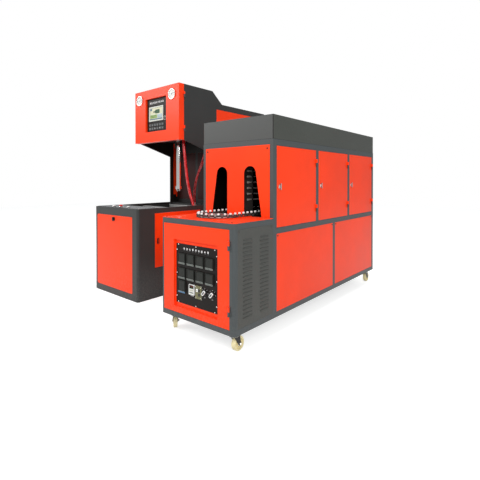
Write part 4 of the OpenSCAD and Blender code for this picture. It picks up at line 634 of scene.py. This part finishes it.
doorW, doorY = bays(3)
lowW, lowY = bays(2)
sheetScrew = panHead(6.3, 4.2)
heads = []  # with the number of the finish: 0 grey, 1 black, 2 bright
for start, w, z, tint in [(lowY[0], lowW, oven["lowScrew"], 1), (lowY[1], lowW, oven["lowScrew"], 1),
                          (*oven["louvres"], 0)]:
    for y in rowEnds(start, w):
        heads.append((put(sheetScrew, ovenAt + [oven["w"], y, z], "right"), tint))
        heads.append((put(sheetScrew, ovenAt + [0, y, z], "left"), tint))
for start in doorY:
    heads += [(put(sheetScrew, ovenAt + [0, y, oven["doorScrew"]], "left"), 1) for y in rowEnds(start, doorW)]
for z in (oven["lowScrew"], oven["doorScrew"]):
    heads += [(put(sheetScrew, ovenAt + [x, oven["back"], z], "back"), 1) for x in rowEnds(*oven["rear"])]
across, y, z = screwRows["table"]
heads += [(put(panHead(6.3, 3.8), ovenAt + [x, y, z], "top"), 1) for x in across]
across, y, z = screwRows["front"]
heads += [(put(sheetScrew, ovenAt + [x, y, z], "front"), 1) for x in across]
across, along, z = screwRows["well"]
heads += [(put(panHead(4.4, 3.2), pressAt + [x, y, z], "top"), 2) for x in across for y in along]
screwHeads = piece("screwHeads", heads, "root", [louvreGrey, knobBlack, screwMetal])
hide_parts("panel_screws")
panelScrews = {"in": 7, "across": (0.06, 0.5, 0.94), "up": (0.11, 0.5, 0.89)}  # the last two are shares
near, right, top = panelScrews["in"], panelAt["w"] - panelScrews["in"], panelAt["h"] - panelScrews["in"]
around = [(x * panelAt["w"], z) for x in panelScrews["across"] for z in (near, top)]
around += [(x, z * panelAt["h"]) for x in (near, right) for z in panelScrews["up"]]
piece("panelScrewHeads", [(onPanel(panHead(4.5, 3.2), x, z), 0) for x, z in around], "heater_door",
      [screwMetal])

# painted shade: a black strip where the hood meets the rail under it, standing for the shade in the seam, a
# little short of each corner
seam = {"z": 1443, "h": 2.2, "short": 2}
length, middle = oven["back"] - oven["front"], (oven["front"] + oven["back"]) / 2
seams = [((oven["w"] / 2, oven["front"]), oven["w"], "front"), ((oven["w"], middle), length, "right"),
         ((0, middle), length, "left")]
piece("hoodSeams", [(put(block(w - seam["short"], seam["h"], -0.1, 0.35, 0.8, 0.1), ovenAt + [*at, seam["z"]],
                         side), 0) for at, w, side in seams], "root", [knobBlack])
print("screws in")

# Preform seats on the chain
chain = {"x": 360.0, "front": 230.0, "radius": 150.0, "teeth": 20, "run": 40, "collar": 884.0}
pitch = 2 * chain["radius"] * math.sin(math.pi / chain["teeth"])


def chainPoints():
    # pitch points: up the right run, round the rear sprocket, down the left run, round the front sprocket
    k = np.arange(2 * chain["run"] + chain["teeth"])
    run, half, r = chain["run"], chain["teeth"] // 2, chain["radius"]
    a = (k - run) * 2 * np.pi / chain["teeth"]
    b = np.pi + (k - 2 * run - half) * 2 * np.pi / chain["teeth"]
    x = np.select([k < run, k < run + half, k < 2 * run + half], [r + 0 * a, r * np.cos(a), -r + 0 * a],
                  r * np.cos(b))
    y = np.select([k < run, k < run + half, k < 2 * run + half],
                  [k * pitch, run * pitch + r * np.sin(a), run * pitch - (k - run - half) * pitch],
                  r * np.sin(b))
    return np.column_stack([x + chain["x"], y + chain["front"]])


spots = chainPoints()
middles = (spots + np.roll(spots, -1, 0)) / 2
sleeve = spin([(0, 5), (8.4, 5), (8.4, 20.2), (7.8, 21), (4.6, 21), (4, 20.2), (0, 20.2)], 12)
ring = spin([(13.6, 1), (14.5, 1), (14.5, 4.8), (13.6, 5.2), (13.6, 1)], 12)
seats = []
for x, y in middles:
    seats += [(sleeve + ovenAt + [x, y, chain["collar"]], 0), (ring + ovenAt + [x, y, chain["collar"]], 1)]
piece("preformSeats", seats, "root", [seatWhite, knobBlack])
print("seats on the chain")

# Head: touch screen, keys and gauges
headAt = {"screenX": 237.5, "screenZ": 1791.0, "w": 250.0, "h": 160.0, "face": 521.0}


def onHead(shape, x, z):
    return put(shape, pressAt + [x, headAt["face"], z])


cx, cz = headAt["screenX"] + headAt["w"] / 2, headAt["screenZ"] + headAt["h"] / 2
fields = [(222, 132, 0, 0, 2.6, 3.4, 1), (214, 13, 0, -57, 3.2, 3.8, 4), (118, 40, -46, -27, 3.2, 3.8, 2),
          (84, 40, 60, -27, 3.2, 3.8, 6), (216, 2.6, 0, -4, 3.2, 3.9, 5), (30, 24, -90, 50, 3.2, 3.8, 4)]
shapes = [(onHead(frameBlock(headAt["w"] + 1, headAt["h"] + 1, 14.4, 5, 8, 7, 1.2), cx, cz), 0)]
for w, h, dx, dz, low, high, tint in fields:
    shapes.append((onHead(block(w, h, low, high, 1, 0.1), cx + dx, cz + dz), tint))


def drawnOutline():
    # one half of the plain shape drawn on the screen, mirrored about its long axis
    x = np.array([-60, -60, -46, -40, -28, -22, 40, 46, 46])
    r = np.array([0.01, 7, 7, 9, 19, 22, 22, 17, 0.01])
    return np.column_stack([np.r_[x, x[::-1]], np.r_[-r, r[::-1]]])


outline = drawnOutline()
shapes.append((onHead(stack([(0 * outline, 3.2), (outline, 3.2), (outline, 3.9), (0 * outline, 3.9)]),
                      cx + 14, cz + 24), 3))
shapes.append((onHead(block(16, 14, 3.7, 4.2, 3, 0.1), cx - 44, cz + 24), 7))
for i in range(3):
    line = bar(90 - 22 * i, 2.4, (0, 0), low=3.6, high=4.1)
    shapes.append((onHead(line, cx - 50 - 3 * i, cz - 18 - i * 8), 3))
piece("touchScreen", shapes, "head_door",
      [palePlastic, screenCream, screenGreen, screenDark, screenBlue, whitePlastic, screenPale, knobBlack],
      50)

keys = {"x": 250.5, "z": 1711, "across": 44, "up": 40, "count": (6, 2), "w": 34.6, "h": 28.6}
keyShapes = []
for i in range(keys["count"][0]):
    for j in range(keys["count"][1]):
        x, z = keys["x"] + i * keys["across"], keys["z"] + j * keys["up"]
        keyShapes.append((onHead(block(keys["w"], keys["h"], 1, 4.2, 4, 1.2), x, z), 0))
        if (i * 2 + j * 3) % 4 == 0:
            keyShapes.append((onHead(bar(16, 7, (0, 2), low=4, high=4.6), x, z), 1))
        else:
            keyShapes.append((onHead(bar(12, 2.2, (0, -3), low=4, high=4.6), x, z), 1))
band = {"x": 379, "z": 2000, "w": 340, "h": 56, "marks": 9, "first": 254, "pitch": 28, "markZ": 1997}
keyShapes.append((onHead(block(band["w"], band["h"], -0.3, 0.3, 3, 0.2), band["x"], band["z"]), 5))
for i in range(band["marks"]):
    x, z = band["first"] + i * band["pitch"], band["markZ"] + math.sin(4.0 * i)
    size = 14 + 3 * math.sin(2.4 * i)
    keyShapes.append((onHead(frameBlock(size, size + 3, 3.4, 0, 0.8, 2, 0.1), x, z), 2))
    keyShapes.append((onHead(bar(size * 0.6, 3.2, (0, 0), 50 * math.sin(3.0 * i), 0, 0.8), x, z), 2))
knobAt = (512, 1812)
keyShapes.append((onHead(spin([(0, 0), (17, 0), (17, 4), (15, 9), (13, 11), (0, 11.6)], 32), *knobAt), 4))
knobRing = spin([(17.6, 0), (22, 0), (22, 3), (21, 4), (17.6, 3.6), (17.6, 0)], 36)
keyShapes.append((onHead(knobRing, *knobAt), 6))
piece("keypad", keyShapes, "head_door",
      [keyGrey, printGrey, printWhite, stripGrey, knobBlack, caseGrey, palePlastic])


def dialText(sign, size):
    # a figure from the built-in font as a flat mesh, centred on zero
    curve = bpy.data.curves.new("sign", "FONT")
    curve.body, curve.size, curve.align_x, curve.align_y, curve.extrude = sign, size, "CENTER", "CENTER", 0.15
    holder = bpy.data.objects.new("sign", curve)
    bpy.context.scene.collection.objects.link(holder)
    bpy.context.view_layer.update()
    mesh = bpy.data.meshes.new_from_object(holder.evaluated_get(bpy.context.evaluated_depsgraph_get()))
    points = np.array([v.co for v in mesh.vertices])
    faces = [tuple(p.vertices) for p in mesh.polygons]
    bpy.data.objects.remove(holder)
    return points, faces


gauges = {"x": (94.0, 661.0), "z": 2041.0, "dial": 490.0, "signs": ("0", "2", "4", "6", "8", "10"),
          "sweep": (-135.0, 135.0), "reading": 62.0, "ticks": 51, "signSize": 10.5, "signOut": 31}
dials, textPoints, textFaces = [], [], []


def onDial(shape, x):
    return put(shape, pressAt + [x, gauges["dial"], gauges["z"]])


for x in gauges["x"]:
    dials.append((onDial(spin([(0, -0.5), (51.8, -0.5), (51.8, 0.4), (0, 0.4)], 48), x), 0))
    dials.append((onDial(spin([(51.2, 0), (57.5, 0), (58, 2), (57.4, 5.4), (55, 6.6), (52.4, 5.6), (51.2, 2),
                               (51.2, 0)], 64), x), 1))
    for i, a in enumerate(np.radians(np.linspace(*gauges["sweep"], gauges["ticks"]))):
        big = i % 10 == 0
        r = 43 if big else 44.5
        dials.append((onDial(bar(1.8 if big else 0.9, 8 if big else 4.6, (r * math.sin(a), r * math.cos(a)),
                                 -math.degrees(a), 0.2, 0.7), x), 2))
    for sign, a in zip(gauges["signs"], np.radians(np.linspace(*gauges["sweep"], len(gauges["signs"])))):
        points, faces = dialText(sign, gauges["signSize"])
        start = sum(len(p) for p in textPoints)
        shift = [gauges["signOut"] * math.sin(a), gauges["signOut"] * math.cos(a), 0.5]
        textPoints.append(onDial(points + shift, x))
        textFaces += [tuple(k + start for k in f) for f in faces]
    a = math.radians(gauges["reading"])
    needle = np.array([[-1.9, -13], [1.9, -13], [0.5, 36], [-0.5, 36]])
    needle = needle @ np.array([[math.cos(-a), math.sin(-a)], [-math.sin(-a), math.cos(-a)]])
    middle = 0 * needle + needle.mean(0)
    dials.append((onDial(stack([(middle, 1.6), (needle, 1.6), (needle, 2.3), (middle, 2.3)]), x), 3))
    dials.append((onDial(spin([(0, 0.3), (4.6, 0.3), (4.6, 3.2), (3.6, 3.8), (0, 3.8)], 20), x), 3))
piece("gaugeDials", dials, "head_door", [dialWhite, chromePlate, panelBlack, motorGrey])
mesh = bpy.data.meshes.new("gaugeNumbers")
mesh.from_pydata(np.concatenate(textPoints) / 1000, [], textFaces)
mesh.materials.append(panelBlack)
numbers = bpy.data.objects.new("gaugeNumbers", mesh)
bpy.context.scene.collection.objects.link(numbers)
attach(numbers, "head_door")
print("head dressed")

# Casters
corners = {"front_right": (655, 75, 0), "front_left": (57, 75, 52), "rear_right": (655, 2300, 0),
           "rear_left": (65, 2300, 0)}  # where each fork swivels, and how far it is turned
axle = {"trail": 36, "height": 50, "nut": 23.2, "cap": 14.8, "races": (107.6, 111.4), "spokes": 8}


def atCaster(shape, corner):
    x, y, turn = corner
    return turned(shape, turn) + ovenAt + [x, y, 0]


middle = np.array([0, axle["trail"], axle["height"]])
nut = [(0, 0), (9.5, 0), (9.5, 5.2), (8.6, 6), (5.2, 6), (5, 8.5), (0, 8.5)]
race = [(20, 0), (33.5, 0), (35, 1.6), (33.5, 3.2), (20, 3.2), (20, 0)]
cap = [(7.5, 0), (15, 0), (15.6, 1), (15.2, 2.2), (12, 2.8), (7.5, 2.8), (7.5, 0)]
for where, corner in corners.items():
    hub = [put(spin(nut, 6), middle + [axle["nut"], 0, 0], "right"),
           put(spin(nut, 6), middle - [axle["nut"], 0, 0], "left")]
    hub += [put(spin(race, 40), (0, 0, z), "top") for z in axle["races"]]
    piece("casterNuts_" + where, [(atCaster(shape, corner), 0) for shape in hub], "caster_fork_" + where,
          [screwMetal])
    wheel = [(put(spin(cap, 32), middle + [axle["cap"], 0, 0], "right"), 0),
             (put(spin(cap, 32), middle - [axle["cap"], 0, 0], "left"), 0)]
    for k in range(axle["spokes"]):
        spoke = turned(block(5, 15, 0, 8.6, 1.6, 0.8) + [0, 27, 0], 360 / axle["spokes"] * k)
        wheel += [(put(spoke, middle + [4, 0, 0], "right"), 1), (put(spoke, middle - [4, 0, 0], "left"), 1)]
    piece("casterHub_" + where, [(atCaster(shape, corner), tint) for shape, tint in wheel],
          "caster_wheel_" + where, [screwMetal, wheelCream])
print("casters dressed")

# Small fittings on doors and console
pull = {"x": 770, "y": 232.0, "z": 547.6, "w": 21.6, "h": 51.6, "rim": 4.4}
cupAt = pressAt + [pull["x"], pull["y"], pull["z"]]
rim = frameBlock(pull["w"] + pull["rim"], pull["h"] + pull["rim"], 3.2, -0.5, 1.6, 4, 0.5)
cup = [(put(rim, cupAt, "right"), 0),
       (put(block(pull["w"], pull["h"], -13.6, -12.4, 2, 0.3), cupAt, "right"), 0)]
piece("pullCup", cup, "base_side_door", [knobBlack])

lockAt = {"in": 36, "z": 1093}
rose = [(12.5, 3.6), (15.4, 3.6), (15.6, 4.6), (14.6, 5.4), (12.5, 5.2), (12.5, 3.6)]
for where, start in zip(("front", "middle", "rear"), doorY):
    at = ovenAt + [oven["w"], start + lockAt["in"], lockAt["z"]]
    grip = [(put(spin(rose, 36), at, "right"), 0),
            (put(frameBlock(11, 49, 0.9, 12.4, 15.9, 3, 0.3), at, "right"), 1)]
    piece("lockTrim_" + where, grip, "lock_" + where, [chromePlate, knobBlack])

buttons = {"x": (245, 375, 505), "y": 72, "cap": 881, "foot": 867, "markY": 112, "plate": 869}
cap = [(0, -0.6), (9.4, -0.6), (9.6, 0.2), (8.4, 0.9), (4, 0.35), (0, 0.2)]
for name, x in [("start_button_left", buttons["x"][0]), ("start_button_right", buttons["x"][2])]:
    at = pressAt + [x, buttons["y"], buttons["cap"]]
    piece("buttonCap_" + name, [(put(spin(cap, 32), at, "top"), 0)], name, [whitePlastic])
collar = [(11.6, 5), (17.4, 5), (17.8, 6.6), (16.6, 8.8), (13, 9.4), (11.6, 8.8), (11.6, 5)]
collars = []
for x in buttons["x"]:
    collars.append((put(spin(collar, 40), pressAt + [x, buttons["y"], buttons["foot"]], "top"), 0))
    collars.append((put(bar(34, 5, (0, 0)), pressAt + [x, buttons["markY"], buttons["plate"]], "top"), 1))
piece("buttonCollars", collars, "root", [chromePlate, printGrey])
print("fittings made")

# Floor, lamps and the white surround
studio = {"floor": (0.62, 0.62, 0.61, 1.0), "floorDark": (0.6, 0.6, 0.59, 1), "glow": 0.66, "world": 0.5,
          "sky": (0.96, 0.98, 1.0, 1), "reach": 14.0}
mesh = bpy.data.meshes.new("studioFloor")
mesh.from_pydata([(x * studio["reach"], y * studio["reach"], 0)
                  for x, y in ((-1, -1), (1, -1), (1, 1), (-1, 1))], [], [(0, 1, 2, 3)])
studioFloor = bpy.data.objects.new("studioFloor", mesh)
bpy.context.scene.collection.objects.link(studioFloor)
floorFinish = Finish("studioFloor", Roughness=0.9)
tone = floorFinish.noise(0.6, 3.0)
seen = [floorFinish.make("ShaderNodeLightPath", out=name) for name in
        ("Is Camera Ray", "Is Glossy Ray", "Is Transmission Ray")]
mask = (seen[0] + seen[1] + seen[2]).between(0.0, 1.0)
lit = studio["glow"]
floorFinish.feed(BaseColor=floorFinish.mix(tone, studio["floor"], studio["floorDark"]), EmissionStrength=1.0,
                 EmissionColor=floorFinish.mix(mask, (0, 0, 0, 1), (lit, lit, lit, 1)))
mesh.materials.append(floorFinish.material)

world = bpy.data.worlds.new("studioWorld")
bpy.context.scene.world = world
world.use_nodes = True
tree = world.node_tree
tree.nodes.clear()
path = tree.nodes.new("ShaderNodeLightPath")
sky, white = tree.nodes.new("ShaderNodeBackground"), tree.nodes.new("ShaderNodeBackground")
sky.inputs["Color"].default_value = studio["sky"]
sky.inputs["Strength"].default_value = studio["world"]
white.inputs["Color"].default_value = (1, 1, 1, 1)
white.inputs["Strength"].default_value = 1.0
total = tree.nodes.new("ShaderNodeMath")
total.operation = "MAXIMUM"
tree.links.new(path.outputs["Is Camera Ray"], total.inputs[0])
tree.links.new(path.outputs["Is Transmission Ray"], total.inputs[1])
blend = tree.nodes.new("ShaderNodeMixShader")
tree.links.new(total.outputs[0], blend.inputs[0])
tree.links.new(sky.outputs[0], blend.inputs[1])
tree.links.new(white.outputs[0], blend.inputs[2])
tree.links.new(blend.outputs[0], tree.nodes.new("ShaderNodeOutputWorld").inputs[0])

softboxes = {
    "leftBox": {"at": (-5.0, -5.8, 4.6), "aim": (0.2, -0.3, 1.2), "size": (4.5, 3.0), "power": 340.0},
    "rightBox": {"at": (6.2, -4.6, 3.6), "aim": (1.0, 0.0, 0.8), "size": (4.0, 3.0), "power": 290.0},
    "topBox": {"at": (0.8, 0.3, 6.0), "aim": (0.8, 0.0, 0.0), "size": (5.0, 5.0), "power": 190.0},
    "rearBox": {"at": (-3.0, 6.0, 4.0), "aim": (0.6, 0.0, 1.0), "size": (4.0, 3.0), "power": 136.0}}
for name, box in softboxes.items():
    light = bpy.data.lights.new(name, "AREA")
    light.shape = "RECTANGLE"
    light.size, light.size_y = box["size"]
    light.energy = box["power"]
    lamp = bpy.data.objects.new(name, light)
    bpy.context.scene.collection.objects.link(lamp)
    lamp.location = box["at"]
    away = np.array(box["at"]) - np.array(box["aim"])
    flat = math.hypot(away[0], away[1])
    lamp.rotation_euler = (math.atan2(flat, away[2]), 0, math.atan2(away[0], -away[1]))
print("studio lit")
